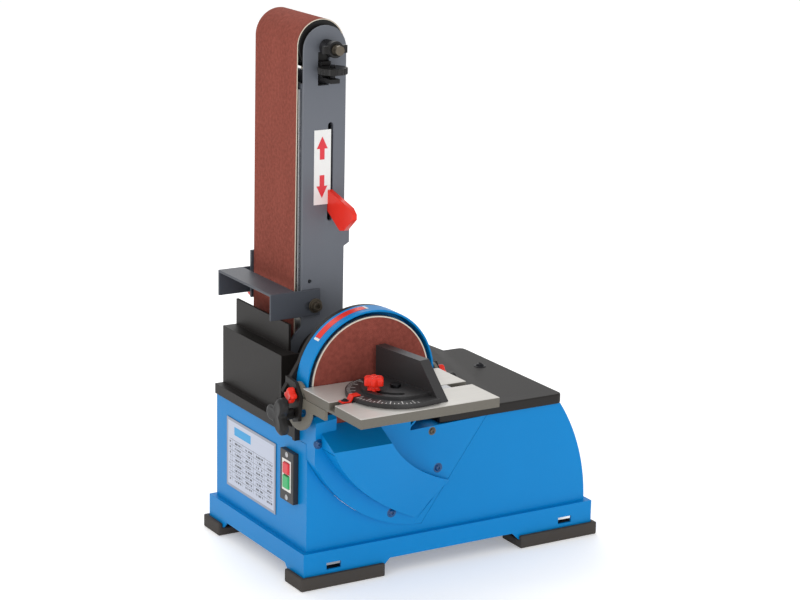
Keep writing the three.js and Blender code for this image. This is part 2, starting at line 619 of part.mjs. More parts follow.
const BUTTON = { y: [40, 53], out: 2.8, back: 7.6 };
const buttons = { stop: [126, 139], start: [109, 124] };
piece('switch_box', cut(
  join(box([5, WALL_FACE], [31, 62], [93, 153]), box([WALL_FACE - 1, 32], [35, 58], [99.5, 146.5])),
  box([0, 10.7], [BUTTON.y[0] - 0.4, BUTTON.y[1] + 0.4], [buttons.stop[0] - 0.4, buttons.stop[1] + 0.4]),
  box([0, 10.7], [BUTTON.y[0] - 0.4, BUTTON.y[1] + 0.4], [buttons.start[0] - 0.4, buttons.start[1] + 0.4]),
), BLACK);
piece('stop_button', box([BUTTON.out, BUTTON.back], BUTTON.y, buttons.stop), RED);
piece('start_button', box([BUTTON.out, BUTTON.back], BUTTON.y, buttons.start), GREEN);

// ---------------------------------------------------------------- arm
const up = (v) => AXIS.z + v; // height above the spindle axis
const TUBE = { half: 25.5, wall: 3, back: 229, low: 47, high: 318 };
const LEVER = { x: [94, 100], pivotY: 130, pivotZ: up(185), pin: 3 };
const CARRIAGE = { travel: 10, strip: [331, CENTRES + 13], half: 12 };

function armFrame() {
  const platePoints = [
    ...arcPoints(SPINDLE, ARM.pivotRadius, 125 - 360, 55, 28),
    [AXIS.x + ARM.halfWidth, up(60)],
    [AXIS.x + ARM.halfWidth, up(128)],
    [AXIS.x + ARM.halfWidth + 7, up(132)],
    [AXIS.x + ARM.halfWidth + 7, up(162)],
    [AXIS.x + ARM.halfWidth, up(166)],
    ...arcPoints([IDLER.x, IDLER.z - 3], ARM.halfWidth, 0, 180, 16),
    [AXIS.x - ARM.halfWidth, up(60)],
  ];
  const plateBack = ARM.front + ARM.plate;
  const tubeX = [AXIS.x - TUBE.half, AXIS.x + TUBE.half];
  const tubeZ = [up(TUBE.low), up(TUBE.high)];
  const tube = cut(
    box(tubeX, [plateBack - 1, TUBE.back], tubeZ),
    box([tubeX[0] + TUBE.wall, tubeX[1] - TUBE.wall], [plateBack + TUBE.wall, TUBE.back - TUBE.wall],
      [tubeZ[0] - 5, tubeZ[1] + 5]),
  );
  const lugZ = [LEVER.pivotZ - 8, LEVER.pivotZ + 8];
  const through = (shape) => alongY(shape, ARM.front - 5, plateBack + TUBE.wall + 1);
  return cut(
    join(
      alongY(outline(platePoints), ARM.front, plateBack),
      tube,
      box([LEVER.x[0] - 4.5, LEVER.x[0] - 0.8], [plateBack + 1, LEVER.pivotY + 7], lugZ),
      box([LEVER.x[1] + 0.8, LEVER.x[1] + 4.5], [plateBack + 1, LEVER.pivotY + 7], lugZ),
    ),
    rod('y', SPINDLE, NOSE.radius + GAP, ARM.front - 5, plateBack + 5, 40),
    // the lock bolt stays at the bottom while the slot swings past it
    through(arcSlot(SPINDLE, LOCK_BOLT.radius, LOCK_BOLT.slot, -95, 5, 16)),
    through(slot([(LEVER.x[0] + LEVER.x[1]) / 2, up(163)], [(LEVER.x[0] + LEVER.x[1]) / 2, up(270)],
      LEVER.x[1] - LEVER.x[0] + 0.8)),
    through(outline([
      [AXIS.x - 9, up(316)], [AXIS.x + 5, up(316)], [AXIS.x + 5, up(354)], [AXIS.x - 9, up(354)],
    ])),
    through(slot([IDLER.x, IDLER.z - CARRIAGE.travel - 1], [IDLER.x, IDLER.z], 12.8)),
    rod('y', [STOP_SCREW.x, STOP_SCREW.z], STOP_SCREW.shank + GAP, 100, 126),
    rod('y', [AXIS.x - 17, up(91)], 2.5, 100, 130, 12),
    rod('x', [LEVER.pivotY, LEVER.pivotZ], LEVER.pin + GAP, LEVER.x[0] - 10, LEVER.x[1] + 10),
  );
}
piece('arm_frame', armFrame(), SLATE);

const belt = { y0: BELT.front, y1: BELT.front + BELT.width };
const IDLER_AXIS = [IDLER.x, IDLER.z];
piece('platen', box([AXIS.x - 28.6, AXIS.x - TUBE.half - GAP], [126, TUBE.back], [up(50), up(312)]), STEEL);
piece('abrasive_belt', band(
  SPINDLE, BELT.drumSide - BELT.thickness, IDLER_AXIS, BELT.idlerSide - BELT.thickness, BELT.thickness,
  belt.y0, belt.y1, 24,
), ABRASIVE);
piece('drive_drum', ring(SPINDLE, SHAFT_RADIUS + GAP, DRUM_RADIUS, belt.y0 - 1, belt.y1 + 1, 48), CAST_ALU);
const AXLE_RADIUS = 6;
piece('idler_roller', ring(IDLER_AXIS, AXLE_RADIUS + GAP, IDLER_RADIUS, belt.y0 - 1, belt.y1 + 1, 48), CAST_ALU);
piece('idler_axle', turned(IDLER_AXIS, [
  [0, 84], [5.5, 84], [5.5, 91], [AXLE_RADIUS, 91], [AXLE_RADIUS, 226], [0, 226],
], 24), STEEL);
piece('tracking_wing_nut', join(
  ring(IDLER_AXIS, AXLE_RADIUS + GAP, 9.5, 93, 101, 24),
  cut(
    box([IDLER.x - 15, IDLER.x + 15], [94, 99], [IDLER.z - 4.5, IDLER.z + 4.5]),
    rod('y', IDLER_AXIS, 9, 90, 105, 24),
  ),
), BLACK);
piece('tracking_spring', cut(
  turned(IDLER_AXIS, [
    [AXLE_RADIUS + GAP, 101.3],
    ...Array.from({ length: 9 }, (_, i) => [i % 2 ? 7.6 : 9, 102.3 + (i * 13.6) / 8]),
    [AXLE_RADIUS + GAP, 117],
  ], 24),
), ZINC);

const tabTop = up(327);
const WHEEL = { x: AXIS.x - 1.5, y: 98, low: up(332.5), high: up(339.5), radius: 16.9 };
const carriageSlotBoss = [AXIS.x - 8, AXIS.x + 4];
piece('idler_carriage', cut(
  join(
    box([AXIS.x - CARRIAGE.half, AXIS.x + CARRIAGE.half], [121.4, 125.4], CARRIAGE.strip.map(up)),
    box(carriageSlotBoss, [112, 122], [up(328), up(344)]),
    box(carriageSlotBoss, [WHEEL.y - 7, 117.7], [up(322), tabTop]),
    box(carriageSlotBoss, [112, 117.7], [up(322), up(344)]),
  ),
  rod('y', IDLER_AXIS, AXLE_RADIUS + GAP, 110, 130, 24),
  rod('z', [WHEEL.x, WHEEL.y], WHEEL.radius + GAP, WHEEL.low - GAP, WHEEL.high + GAP, 32),
), ZINC);
piece('tracking_stud', rod('z', [WHEEL.x, WHEEL.y], 3, tabTop + GAP, up(CENTRES - 17.5), 16), STEEL);
piece('tracking_wheel', cut(
  alongZ(lobes([WHEEL.x, WHEEL.y], WHEEL.radius, WHEEL.radius - 0.9, 24, 4), WHEEL.low, WHEEL.high),
  rod('z', [WHEEL.x, WHEEL.y], 3 + GAP, WHEEL.low - 1, WHEEL.high + 1, 16),
), BLACK);

// ---------------------------------------------------------------- tension lever
const leverShape = outline([
  [118, up(196)], [88, up(189)], [68, up(184)], [61, up(178)], [61, up(172)], [80, up(156)], [90, up(154)],
  [118, up(171)],
  ...arcPoints([LEVER.pivotY, LEVER.pivotZ], 9, -120, 120, 10),
]);
piece('tension_lever', cut(
  alongX(leverShape, ...LEVER.x),
  rod('x', [LEVER.pivotY, LEVER.pivotZ], LEVER.pin + GAP, 80, 110),
), RED);
piece('lever_pin', rod('x', [LEVER.pivotY, LEVER.pivotZ], LEVER.pin, LEVER.x[0] - 6, LEVER.x[1] + 6), STEEL);

/** Coil spring standing along Z: a round wire on a helix. */
function coil([x, y], radius, wire, z0, z1, turns) {
  const steps = turns * 14;
  const points = Array.from({ length: steps + 1 }, (_, i) => {
    const angle = (2 * Math.PI * turns * i) / steps;
    return new THREE.Vector3(x + radius * Math.cos(angle), y + radius * Math.sin(angle),
      z0 + ((z1 - z0) * i) / steps);
  });
  const section = new THREE.Shape().absarc(0, 0, wire, 0, 2 * Math.PI, false);
  const path = new THREE.CatmullRomCurve3(points);
  return solid(new THREE.ExtrudeGeometry(section, {
    extrudePath: path, steps, bevelEnabled: false, curveSegments: 3,
  }));
}
piece('tension_spring', coil([AXIS.x - 8, 160], 7, 1.3, up(240), up(300), 6), STEEL);

// ---------------------------------------------------------------- work stop
const forkX = [STOP.left, STOP.tips];
const stopZ = [STOP.top - STOP.depth, STOP.top];
const fork = slot([STOP_SCREW.x - 8, STOP_SCREW.z], [STOP.tips + 10, STOP_SCREW.z], 2 * STOP_SCREW.shank + 0.8);
piece('work_stop', cut(
  join(
    box([STOP.left, STOP.right], [STOP.front, STOP.back], [STOP.top - STOP.plate, STOP.top]),
    box(forkX, [STOP.front, STOP.front + STOP.plate], stopZ),
    box(forkX, [STOP.back - STOP.plate, STOP.back], stopZ),
  ),
  alongY(fork, STOP.front - 5, STOP.back + 5),
), DARK_SLATE);
const stopScrew = [STOP_SCREW.x, STOP_SCREW.z];
piece('work_stop_screw', cut(
  join(
    rod('y', stopScrew, 8.5, 112.2, STOP.front - GAP),
    rod('y', stopScrew, 5.5, 106, 113),
    rod('y', stopScrew, STOP_SCREW.shank, 112, 124, 16),
  ),
  rod('y', stopScrew, 2.9, 100, 109.5, 6),
), BLACK_OXIDE);
piece('work_stop_bracket', cut(
  join(
    box([AXIS.x - 34, AXIS.x + 20], [TUBE.back + GAP, TUBE.back + 4], [up(48), up(105)]),
    rod('y', stopScrew, 10, TUBE.back + 2, STOP.back - STOP.plate - GAP, 32),
  ),
  rod('y', stopScrew, STOP_SCREW.shank + GAP, TUBE.back - 1, STOP.back + 1),
), DARK_SLATE);
piece('work_stop_knob', join(
  alongY(lobes(stopScrew, 23, 17.5, 7, 8), STOP.back + GAP + 4, STOP.back + 16),
  rod('y', stopScrew, 10, STOP.back + GAP, STOP.back + 5),
  rod('y', stopScrew, STOP_SCREW.shank, TUBE.back + 5, STOP.back + 5, 16),
), RED);

// ---------------------------------------------------------------- disc table
const tableBottom = TABLE.top - TABLE.thick;
piece('disc_table', cut(
  box([TABLE.left, TABLE.right], [TABLE.front, TABLE.back], [tableBottom, TABLE.top]),
  box([TABLE.left - 5, TABLE.right + 5], [SLOT.y - SLOT.width / 2, SLOT.y + SLOT.width / 2],
    [TABLE.top - SLOT.depth, TABLE.top + 5]),
  box([TABLE.left + 12, TABLE.right - 12], [-118, -73], [tableBottom - 5, tableBottom + 5.5]),
  box([TABLE.left + 12, TABLE.right - 12], [-49, -12], [tableBottom - 5, tableBottom + 5.5]),
  // the lower rear edge is bevelled so that it clears the disc when the table tilts
  alongX(outline([[TABLE.back - 9.2, tableBottom - 1], [TABLE.back + 5, tableBottom - 1],
    [TABLE.back + 5, tableBottom + 13.2]]), TABLE.left - 5, TABLE.right + 5),
), CAST_ALU);

/** Swing plate under one side of the table. */
function trunnion(x0) {
  const x1 = x0 + TRUNNION.thick;
  const pivot = [PIVOT.y, PIVOT.z];
  const lower = cut(
    alongX(new THREE.Shape().absarc(16, 218, TRUNNION.lobeRadius, 0, 2 * Math.PI, false), x0, x1, 20),
    box([x0 - 1, x1 + 1], [-60, 100], [tableBottom - GAP, 300]),
    alongX(outline([
      ...arcPoints(pivot, 15.4, -60, 80, 8),
      [PIVOT.y + 20, PIVOT.z + 80],
      [PIVOT.y + 80, PIVOT.z],
      [PIVOT.y + 80 * Math.cos(rad(-60)), PIVOT.z + 80 * Math.sin(rad(-60))],
    ]), x0 - 1, x1 + 1),
  );
  const upper = cut(
    rod('x', pivot, 14, x0, x1, 32),
    box([x0 - 1, x1 + 1], [-60, TABLE.back + GAP], [tableBottom - GAP, 300]),
  );
  return cut(
    join(lower, upper, box([x0, x1], [-46, 10], [tableBottom - 12, tableBottom - GAP])),
    rod('x', pivot, 4.3, x0 - 1, x1 + 1),
    alongX(arcSlot(pivot, TRUNNION.slotRadius, TRUNNION.slotWidth, LOCK_ANGLE - TRUNNION.tilt - 4,
      LOCK_ANGLE + 4), x0 - 1, x1 + 1),
  );
}
piece('trunnion_left', trunnion(TABLE.left), SLATE);
piece('trunnion_right', trunnion(TABLE.right - TRUNNION.thick), SLATE);

const KNOB_GAP = TABLE.left - GAP - CASTING.ear - GAP; // knobs on the left start here
for (const side of ['left', 'right']) {
  const at = (from, to) => (side === 'left' ? [from, to] : [mirrored(to), mirrored(from)]);
  const pivot = [PIVOT.y, PIVOT.z];
  piece(`pivot_knob_${side}`, join(
    alongX(lobes(pivot, 10.5, 9, 6, 6), ...at(KNOB_GAP - 10, KNOB_GAP)),
    rod('x', pivot, 4, ...at(KNOB_GAP - 2, TABLE.left + TRUNNION.thick - 0.1)),
  ), RED);
  piece(`table_lock_knob_${side}`, join(
    alongX(lobes(lockStud, 24, 10, 3, 12), ...at(-26, -15)),
    rod('x', lockStud, 7, ...at(-16, KNOB_GAP)),
    rod('x', lockStud, 4, ...at(-20, TABLE.left + TRUNNION.thick - 0.1)),
  ), BLACK);
}

// ---------------------------------------------------------------- miter gauge
const miterKnob = [MITER.x - MITER.knobRadius, MITER.y];
piece('miter_bar', box([14, 150], [SLOT.y - SLOT.width / 2 + 0.4, SLOT.y + SLOT.width / 2 - 0.4],
  [TABLE.top - SLOT.depth + GAP, TABLE.top - 0.4]), STEEL);

function miterHead() {
  const half = (radius, to) => outline([
    [to, -radius], [to, radius], ...arcPoints([0, 0], radius, 90, 270, 20),
  ]);
  const body = cut(
    join(
      alongZ(half(MITER.radius, 18), MITER.base, MITER.base + 5),
      alongZ(half(38, 18), MITER.base, MITER.base + 8.4),
      alongX(outline([[-54.6, MITER.base], [56.4, MITER.base], [56.4, 278], [-20, 278]]), 17.2, 30),
    ),
    rod('z', [0, 0], 3.3, 230, 260, 16),
    alongZ(arcSlot([0, 0], MITER.knobRadius, 7.6, 115, 245, 16), 230, 260),
  );
  return body.rotate([0, 0, MITER.rest]).translate([MITER.x, MITER.y, 0]);
}
piece('miter_head', miterHead(), CAST_ALU);
const headTop = MITER.base + 8.4;
piece('miter_knob', join(
  alongZ(lobes(miterKnob, 13, 11.4, 8, 6), headTop + 3, headTop + 19),
  rod('z', miterKnob, 7, headTop + GAP, headTop + 4),
  rod('z', miterKnob, 3.5, TABLE.top - 0.1, headTop + 4, 16),
), RED);
piece('miter_pivot_screw', join(
  rod('z', [MITER.x, MITER.y], 6, headTop + GAP, headTop + 3.5),
  rod('z', [MITER.x, MITER.y], 3, TABLE.top - 0.1, headTop + 1, 16),
), BLACK_OXIDE);
piece('miter_pointer', alongY(outline([
  [12, 238.2], [23, 238.2], [26, 244], [34.5, 244], [34.5, 245.5], [25, 245.5], [22, 239.9], [12, 239.9],
]), MITER.y - 4.5, MITER.y + 4.5), RED);

// ---------------------------------------------------------------- origin
const bounds = new THREE.Box3().setFromObject(machine);
const middle = bounds.getCenter(new THREE.Vector3());
machine.children.forEach((node) => node.geometry.translate(-middle.x, -middle.y, -bounds.min.z));

export default machine;
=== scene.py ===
"""Bench belt and disc sander: finished surfaces and finishes over the machine's frame.

Lengths in the classes are in millimetres from the outer bottom corner of the front left foot,
with X to the right, Y to the back and Z up. Shop.place turns them into the frame's metres.
"""
import json
import logging
import math
from dataclasses import dataclass, field
from enum import Enum
from typing import Any, Optional, Sequence

import bmesh
import bpy
import numpy as np
from mathutils import Matrix, Vector

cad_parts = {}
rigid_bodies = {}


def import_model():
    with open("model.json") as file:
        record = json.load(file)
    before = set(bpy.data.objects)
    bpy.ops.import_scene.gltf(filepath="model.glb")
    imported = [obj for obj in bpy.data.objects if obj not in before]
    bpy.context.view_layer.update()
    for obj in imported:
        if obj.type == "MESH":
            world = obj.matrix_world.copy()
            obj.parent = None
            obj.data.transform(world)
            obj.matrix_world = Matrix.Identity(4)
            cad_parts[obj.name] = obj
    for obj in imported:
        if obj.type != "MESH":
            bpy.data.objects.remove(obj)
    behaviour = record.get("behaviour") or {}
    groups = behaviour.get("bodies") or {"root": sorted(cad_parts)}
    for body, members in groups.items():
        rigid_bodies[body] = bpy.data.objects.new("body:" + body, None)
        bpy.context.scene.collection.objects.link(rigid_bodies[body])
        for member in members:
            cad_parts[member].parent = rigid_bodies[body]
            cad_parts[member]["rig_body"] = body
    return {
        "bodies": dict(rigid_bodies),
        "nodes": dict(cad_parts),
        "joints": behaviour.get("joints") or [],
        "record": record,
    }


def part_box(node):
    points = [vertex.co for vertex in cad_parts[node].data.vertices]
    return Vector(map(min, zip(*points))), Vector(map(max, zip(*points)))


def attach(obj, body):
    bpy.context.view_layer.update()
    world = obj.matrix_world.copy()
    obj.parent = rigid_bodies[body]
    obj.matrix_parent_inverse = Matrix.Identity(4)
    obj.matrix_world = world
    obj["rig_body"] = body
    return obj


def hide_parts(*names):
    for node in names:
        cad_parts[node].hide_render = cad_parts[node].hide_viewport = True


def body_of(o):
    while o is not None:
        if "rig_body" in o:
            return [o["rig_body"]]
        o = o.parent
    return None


log = logging.getLogger("sander")

Triple = tuple[float, float, float]


def linear(red: int, green: int, blue: int) -> Triple:
    """Linear colour from 8-bit display values, by the standard display curve."""

    def channel(value: int) -> float:
        """One channel, from 0 to 255."""
        part = value / 255
        return part / 12.92 if part <= 0.04045 else ((part + 0.055) / 1.055) ** 2.4

    return channel(red), channel(green), channel(blue)


# ------------------------------------------------------------------ shader maths
class Signal:
    """A value that varies over a surface: arithmetic on it adds the shader's Math nodes."""

    def __init__(self, recipe: "Recipe", socket: bpy.types.NodeSocket) -> None:
        """Wraps a node's output socket."""
        self.recipe = recipe
        self.socket = socket

    def apply(self, operation: str, *others: Any) -> "Signal":
        """A Math node on this value and up to two others.

        Args:
            operation: The Math node's operation.
            others: Numbers or signals for the node's other inputs.

        Returns:
            The node's result.
        """
        values = dict(enumerate((self, *others)))
        return self.recipe.take("ShaderNodeMath", {"operation": operation}, values)

    def __add__(self, other: Any) -> "Signal":
        """Sum."""
        return self.apply("ADD", other)

    def __sub__(self, other: Any) -> "Signal":
        """Difference."""
        return self.apply("SUBTRACT", other)

    def __rsub__(self, other: float) -> "Signal":
        """Difference from a number."""
        return self.apply("MULTIPLY", -1.0).apply("ADD", other)

    def __mul__(self, other: Any) -> "Signal":
        """Product."""
        return self.apply("MULTIPLY", other)

    def __truediv__(self, other: Any) -> "Signal":
        """Quotient."""
        return self.apply("DIVIDE", other)

    def __rtruediv__(self, other: float) -> "Signal":
        """Quotient of a number and this value."""
        return self.apply("POWER", -1.0) * other

    __radd__ = __add__
    __rmul__ = __mul__

    def above(self, level: Any) -> "Signal":
        """1 where the value is over the level, else 0."""
        return self.apply("GREATER_THAN", level)

    def below(self, level: Any) -> "Signal":
        """1 where the value is under the level, else 0."""
        return self.apply("LESS_THAN", level)

    def within(self, low: float, high: float) -> "Signal":
        """1 between two levels, else 0."""
        return self.above(low) * self.below(high)

    def wave(self, period: float) -> "Signal":
        """Position in a repeating stretch of that length, from 0 to the period."""
        return self.apply("FLOORED_MODULO", period)


class Recipe:
    """One material under construction."""

    def __init__(self, name: str) -> None:
        """Starts an empty material of that name."""
        self.material = bpy.data.materials.new(name)
        self.material.use_nodes = True
        self.tree = self.material.node_tree
        self.tree.nodes.clear()

    def node(self, kind: str, settings: Optional[dict] = None,
             values: Optional[dict] = None) -> bpy.types.Node:
        """Adds a node.

        Args:
            kind: The node's type.
            settings: Properties set first, such as an operation; "stops" fills a colour ramp.
            values: Numbers, signals or sockets by input name or number.

        Returns:
            The new node.
        """
        node = self.tree.nodes.new(kind)
        for key, value in (settings or {}).items():
            if key == "stops":
                elements = node.color_ramp.elements
                while len(elements) < len(value):
                    elements.new(0.5)
                for element, (position, colour) in zip(elements, value):
                    element.position = position
                    element.color = (*colour, 1.0)
            else:
                setattr(node, key, value)
        for key, value in (values or {}).items():
            source = value.socket if isinstance(value, Signal) else value
            if isinstance(source, bpy.types.NodeSocket):
                self.tree.links.new(source, node.inputs[key])
            else:
                node.inputs[key].default_value = source
        return node

    def take(self, kind: str, settings: Optional[dict] = None, values: Optional[dict] = None,
             output: Any = 0) -> Signal:
        """Adds a node and wraps one of its outputs."""
        return Signal(self, self.node(kind, settings, values).outputs[output])

    def place(self) -> Signal:
        """Position on the piece, in metres."""
        return self.take("ShaderNodeTexCoord", output="Object")

    def axes(self, shift: Triple = (0.0, 0.0, 0.0)) -> tuple[Signal, Signal, Signal]:
        """The three coordinates of the position, counted from a point."""
        split = self.node("ShaderNodeSeparateXYZ", None, {0: self.place()})
        return tuple(Signal(self, split.outputs[i]) - shift[i] for i in range(3))

    def noise(self, scale: float, stretch: Triple = (1.0, 1.0, 1.0), detail: float = 3.0) -> Signal:
        """Smooth random value from 0 to 1.

        Args:
            scale: Lumps in a metre.
            stretch: Factor on the scale along each axis.
            detail: Octaves of finer noise.

        Returns:
            The noise value.
        """
        mapped = self.take("ShaderNodeMapping", None, {"Vector": self.place(), "Scale": stretch})
        return self.take("ShaderNodeTexNoise", None, {"Vector": mapped, "Scale": scale, "Detail": detail})

    def cells(self, scale: float) -> Signal:
        """Distance to the nearest of scattered points, in cells that many to a metre."""
        return self.take("ShaderNodeTexVoronoi", None, {"Vector": self.place(), "Scale": scale})

    def blend(self, factor: Any, first: Any, second: Any) -> Signal:
        """Mix of two colours."""
        sockets = [c if isinstance(c, Signal) else (*c, 1.0) for c in (first, second)]
        return self.take("ShaderNodeMix", {"data_type": "RGBA"},
                         {0: factor, 6: sockets[0], 7: sockets[1]}, output=2)

    def close(self, colour: Any, roughness: Any, metallic: Any = 0.0, height: Optional[Signal] = None,
              depth: float = 0.0002, **fixed: Any) -> bpy.types.Material:
        """Ends the material with its surface shader.

        Args:
            colour: Base colour, a triple or a signal.
            roughness: Roughness, a number or a signal.
            metallic: Metallic, a number or a signal.
            height: Relief, from 0 to 1.
            depth: How deep the relief is, in metres.
            fixed: Constants for other sockets, with underscores for spaces.

        Returns:
            The finished material.
        """
        base = colour if isinstance(colour, Signal) else (*colour, 1.0)
        values = {"Base Color": base, "Roughness": roughness, "Metallic": metallic}
        values.update({key.replace("_", " "): value for key, value in fixed.items()})
        if height is not None:
            values["Normal"] = self.take("ShaderNodeBump", None, {"Height": height, "Distance": depth})
        surface = self.take("ShaderNodeBsdfPrincipled", None, values)
        self.node("ShaderNodeOutputMaterial", None, {"Surface": surface})
        return self.material


# ------------------------------------------------------------------ finishes
@dataclass(frozen=True)
class Coat:
    """Sprayed or powder coat: a slight orange peel and a faint change of tone."""

    name: str
    colour: Triple
    roughness: float
    peel: float = 0.00005
    grain: float = 420.0
    tone: float = 0.88
    shine: float = 0.3

    def make(self) -> bpy.types.Material:
        """The material."""
        recipe = Recipe(self.name)
        patch = recipe.noise(9.0)
        skin = recipe.noise(self.grain, detail=2.0)
        shade = tuple(c * self.tone for c in self.colour)
        spread = 0.08
        rough = skin * spread + (self.roughness - spread / 2)
        return recipe.close(recipe.blend(patch, shade, self.colour), rough, height=skin, depth=self.peel,
                            Specular_IOR_Level=self.shine)


@dataclass(frozen=True)
class Moulded:
    """Moulded plastic or rubber with a fine texture."""

    name: str
    colour: Triple
    roughness: float
    relief: float = 0.00006
    grain: float = 900.0
    shine: float = 0.3

    def make(self) -> bpy.types.Material:
        """The material."""
        recipe = Recipe(self.name)
        patch = recipe.noise(22.0)
        skin = recipe.cells(self.grain)
        shade = tuple(c * 0.8 for c in self.colour)
        spread = 0.12
        rough = patch * spread + (self.roughness - spread / 2)
        return recipe.close(recipe.blend(patch, shade, self.colour), rough, height=skin, depth=self.relief,
                            Specular_IOR_Level=self.shine)


@dataclass(frozen=True)
class Metal:
    """Bare metal with tool marks: noise drawn out along one axis."""

    name: str
    colour: Triple
    roughness: float
    marks: Triple = (1.0, 1.0, 1.0)
    scale: float = 500.0
    relief: float = 0.00004
    metallic: float = 0.9

    def make(self) -> bpy.types.Material:
        """The material."""
        recipe = Recipe(self.name)
        lines = recipe.noise(self.scale, self.marks, detail=4.0)
        patch = recipe.noise(14.0)
        shade = tuple(c * 0.72 for c in self.colour)
        spread = 0.2
        rough = lines * spread + (self.roughness - spread / 2)
        return recipe.close(recipe.blend(lines * 0.7 + patch * 0.3, shade, self.colour), rough, self.metallic,
                            height=lines, depth=self.relief)


@dataclass(frozen=True)
class Grit:
    """Coated abrasive: packed grains over a resin, pale cloth on the side without grit."""

    name: str
    colour: Triple
    cloth: Triple
    backed: bool = False
    grain: float = 1500.0
    relief: float = 0.0003
    shine: float = 0.1

    def make(self) -> bpy.types.Material:
        """The material; a piece with a back carries its side in the attribute face_side."""
        recipe = Recipe(self.name)
        grains = recipe.cells(self.grain)
        mottle = recipe.noise(260.0, detail=5.0)
        bands = recipe.noise(30.0, (0.3, 1.0, 0.3))
        dark = tuple(c * 0.45 for c in self.colour)
        light = tuple(min(1.0, c * 1.5 + 0.01) for c in self.colour)
        grit = recipe.blend(mottle * 0.75 + bands * 0.25, dark, light)
        if not self.backed:
            return recipe.close(grit, 0.9, height=grains, depth=self.relief, Specular_IOR_Level=self.shine)
        side = recipe.take("ShaderNodeAttribute", {"attribute_name": "face_side"}, output="Fac")
        weave = recipe.noise(1200.0, (1.0, 1.0, 0.4))
        back = recipe.blend(weave, tuple(c * 0.8 for c in self.cloth), self.cloth)
        return recipe.close(recipe.blend(side, back, grit), 0.9, height=grains * side,
                            depth=self.relief, Specular_IOR_Level=self.shine)


@dataclass(frozen=True)
class MilledTop:
    """Casting whose top is milled bright in lines, with rougher, darker cast sides below."""

    name: str
    milled: Triple
    cast: Triple
    level: float

    def make(self) -> bpy.types.Material:
        """The material: everything above the level, in metres, is milled."""
        recipe = Recipe(self.name)
        _, _, z = recipe.axes()
        top = z.above(self.level)
        lines = recipe.noise(420.0, (0.05, 1.0, 1.0), detail=4.0)
        patch = recipe.noise(11.0, detail=2.0)
        sand = recipe.noise(900.0, detail=4.0)
        bright = recipe.blend(lines * 0.6 + patch * 0.4, tuple(c * 0.72 for c in self.milled), self.milled)
        dull = recipe.blend(sand, tuple(c * 0.7 for c in self.cast), self.cast)
        return recipe.close(recipe.blend(top, dull, bright), 0.62 - top * 0.2, top * 0.45 + 0.05,
                            height=lines * top + sand * (1.0 - top), depth=0.00006)


@dataclass(frozen=True)
class SplitFace:
    """Plastic with a pale window of another colour on part of its face."""

    name: str
    body: Triple
    window: Triple
    low: Triple
    high: Triple

    def make(self) -> bpy.types.Material:
        """The material: the window fills a box between two corners, in metres."""
        recipe = Recipe(self.name)
        x, y, z = recipe.axes()
        mask = (x.within(self.low[0], self.high[0]) * y.within(self.low[1], self.high[1])
                * z.within(self.low[2], self.high[2]))
        skin = recipe.cells(900.0)
        return recipe.close(recipe.blend(mask, self.body, self.window), 0.45, height=skin, depth=0.00004)


@dataclass(frozen=True)
class PrintedFoil:
    """Rating plate: brushed foil with ruled boxes and rows of short dashes, no lettering."""

    name: str
    foil: Triple
    ink: Triple
    panel: Triple
    corner: Triple
    width: float
    height: float

    def make(self) -> bpy.types.Material:
        """The material: rules and dashes repeat across the plate's Y and Z."""
        recipe = Recipe(self.name)
        _, y, z = recipe.axes(self.corner)
        u = y / self.width
        v = z / self.height
        brush = recipe.noise(300.0, (1.0, 0.05, 3.0))
        frame = 1.0 - u.within(0.03, 0.97) * v.within(0.04, 0.96)
        inner = u.within(0.06, 0.94) * v.within(0.1, 0.72)
        rows = v.wave(0.0775)
        columns = u.wave(0.22)
        rules = rows.below(0.006) + columns.below(0.004)
        words = recipe.noise(420.0, (0.0, 1.0, 0.35), detail=1.0).above(0.47)
        dashes = rows.within(0.026, 0.056) * columns.within(0.03, 0.17) * words
        marks = ((rules + dashes) * inner + frame * 0.5).apply("MINIMUM", 1.0)
        shade = tuple(c * 0.85 for c in self.foil)
        panel = u.within(0.5, 0.84) * v.within(0.78, 0.9)
        foil = recipe.blend(panel, recipe.blend(brush, shade, self.foil), self.panel)
        return recipe.close(recipe.blend(marks, foil, self.ink), brush * 0.15 + 0.3, 0.35)


@dataclass(frozen=True)
class Graduated:
    """Painted casting with a scale of pale ticks on an arc about a pivot, on one level.

    The ticks lie between the radii inner and outer, in metres, more than start degrees away from
    +X. A stroke is half a tick's width in degrees times the radius.
    """

    name: str
    colour: Triple
    pivot: Triple
    inner: float
    outer: float
    turn: float
    stroke: float = 0.024
    tick: float = 0.004
    start: float = 97.0
    height: float = 0.006

    def make(self) -> bpy.types.Material:
        """The material: a tick each 5 degrees, a longer one each 15."""
        recipe = Recipe(self.name)
        x, y, z = recipe.axes(self.pivot)
        radius = (x * x + y * y).apply("SQRT")
        angle = y.apply("ARCTAN2", x) * (180 / math.pi) - self.turn
        half = self.stroke / radius
        near_rim = radius.within(self.outer - self.tick, self.outer)
        small = (angle + half).wave(5.0).below(half * 2) * near_rim
        large = (angle + half).wave(15.0).below(half * 2) * radius.within(self.inner, self.outer)
        far_side = angle.apply("ABSOLUTE").above(self.start)
        ticks = (small + large).apply("MINIMUM", 1.0) * far_side * z.below(self.height)
        skin = recipe.noise(700.0, detail=3.0)
        return recipe.close(recipe.blend(ticks, self.colour, (0.7, 0.7, 0.68)), 0.42, 0.1, height=skin,
                            depth=0.00008)


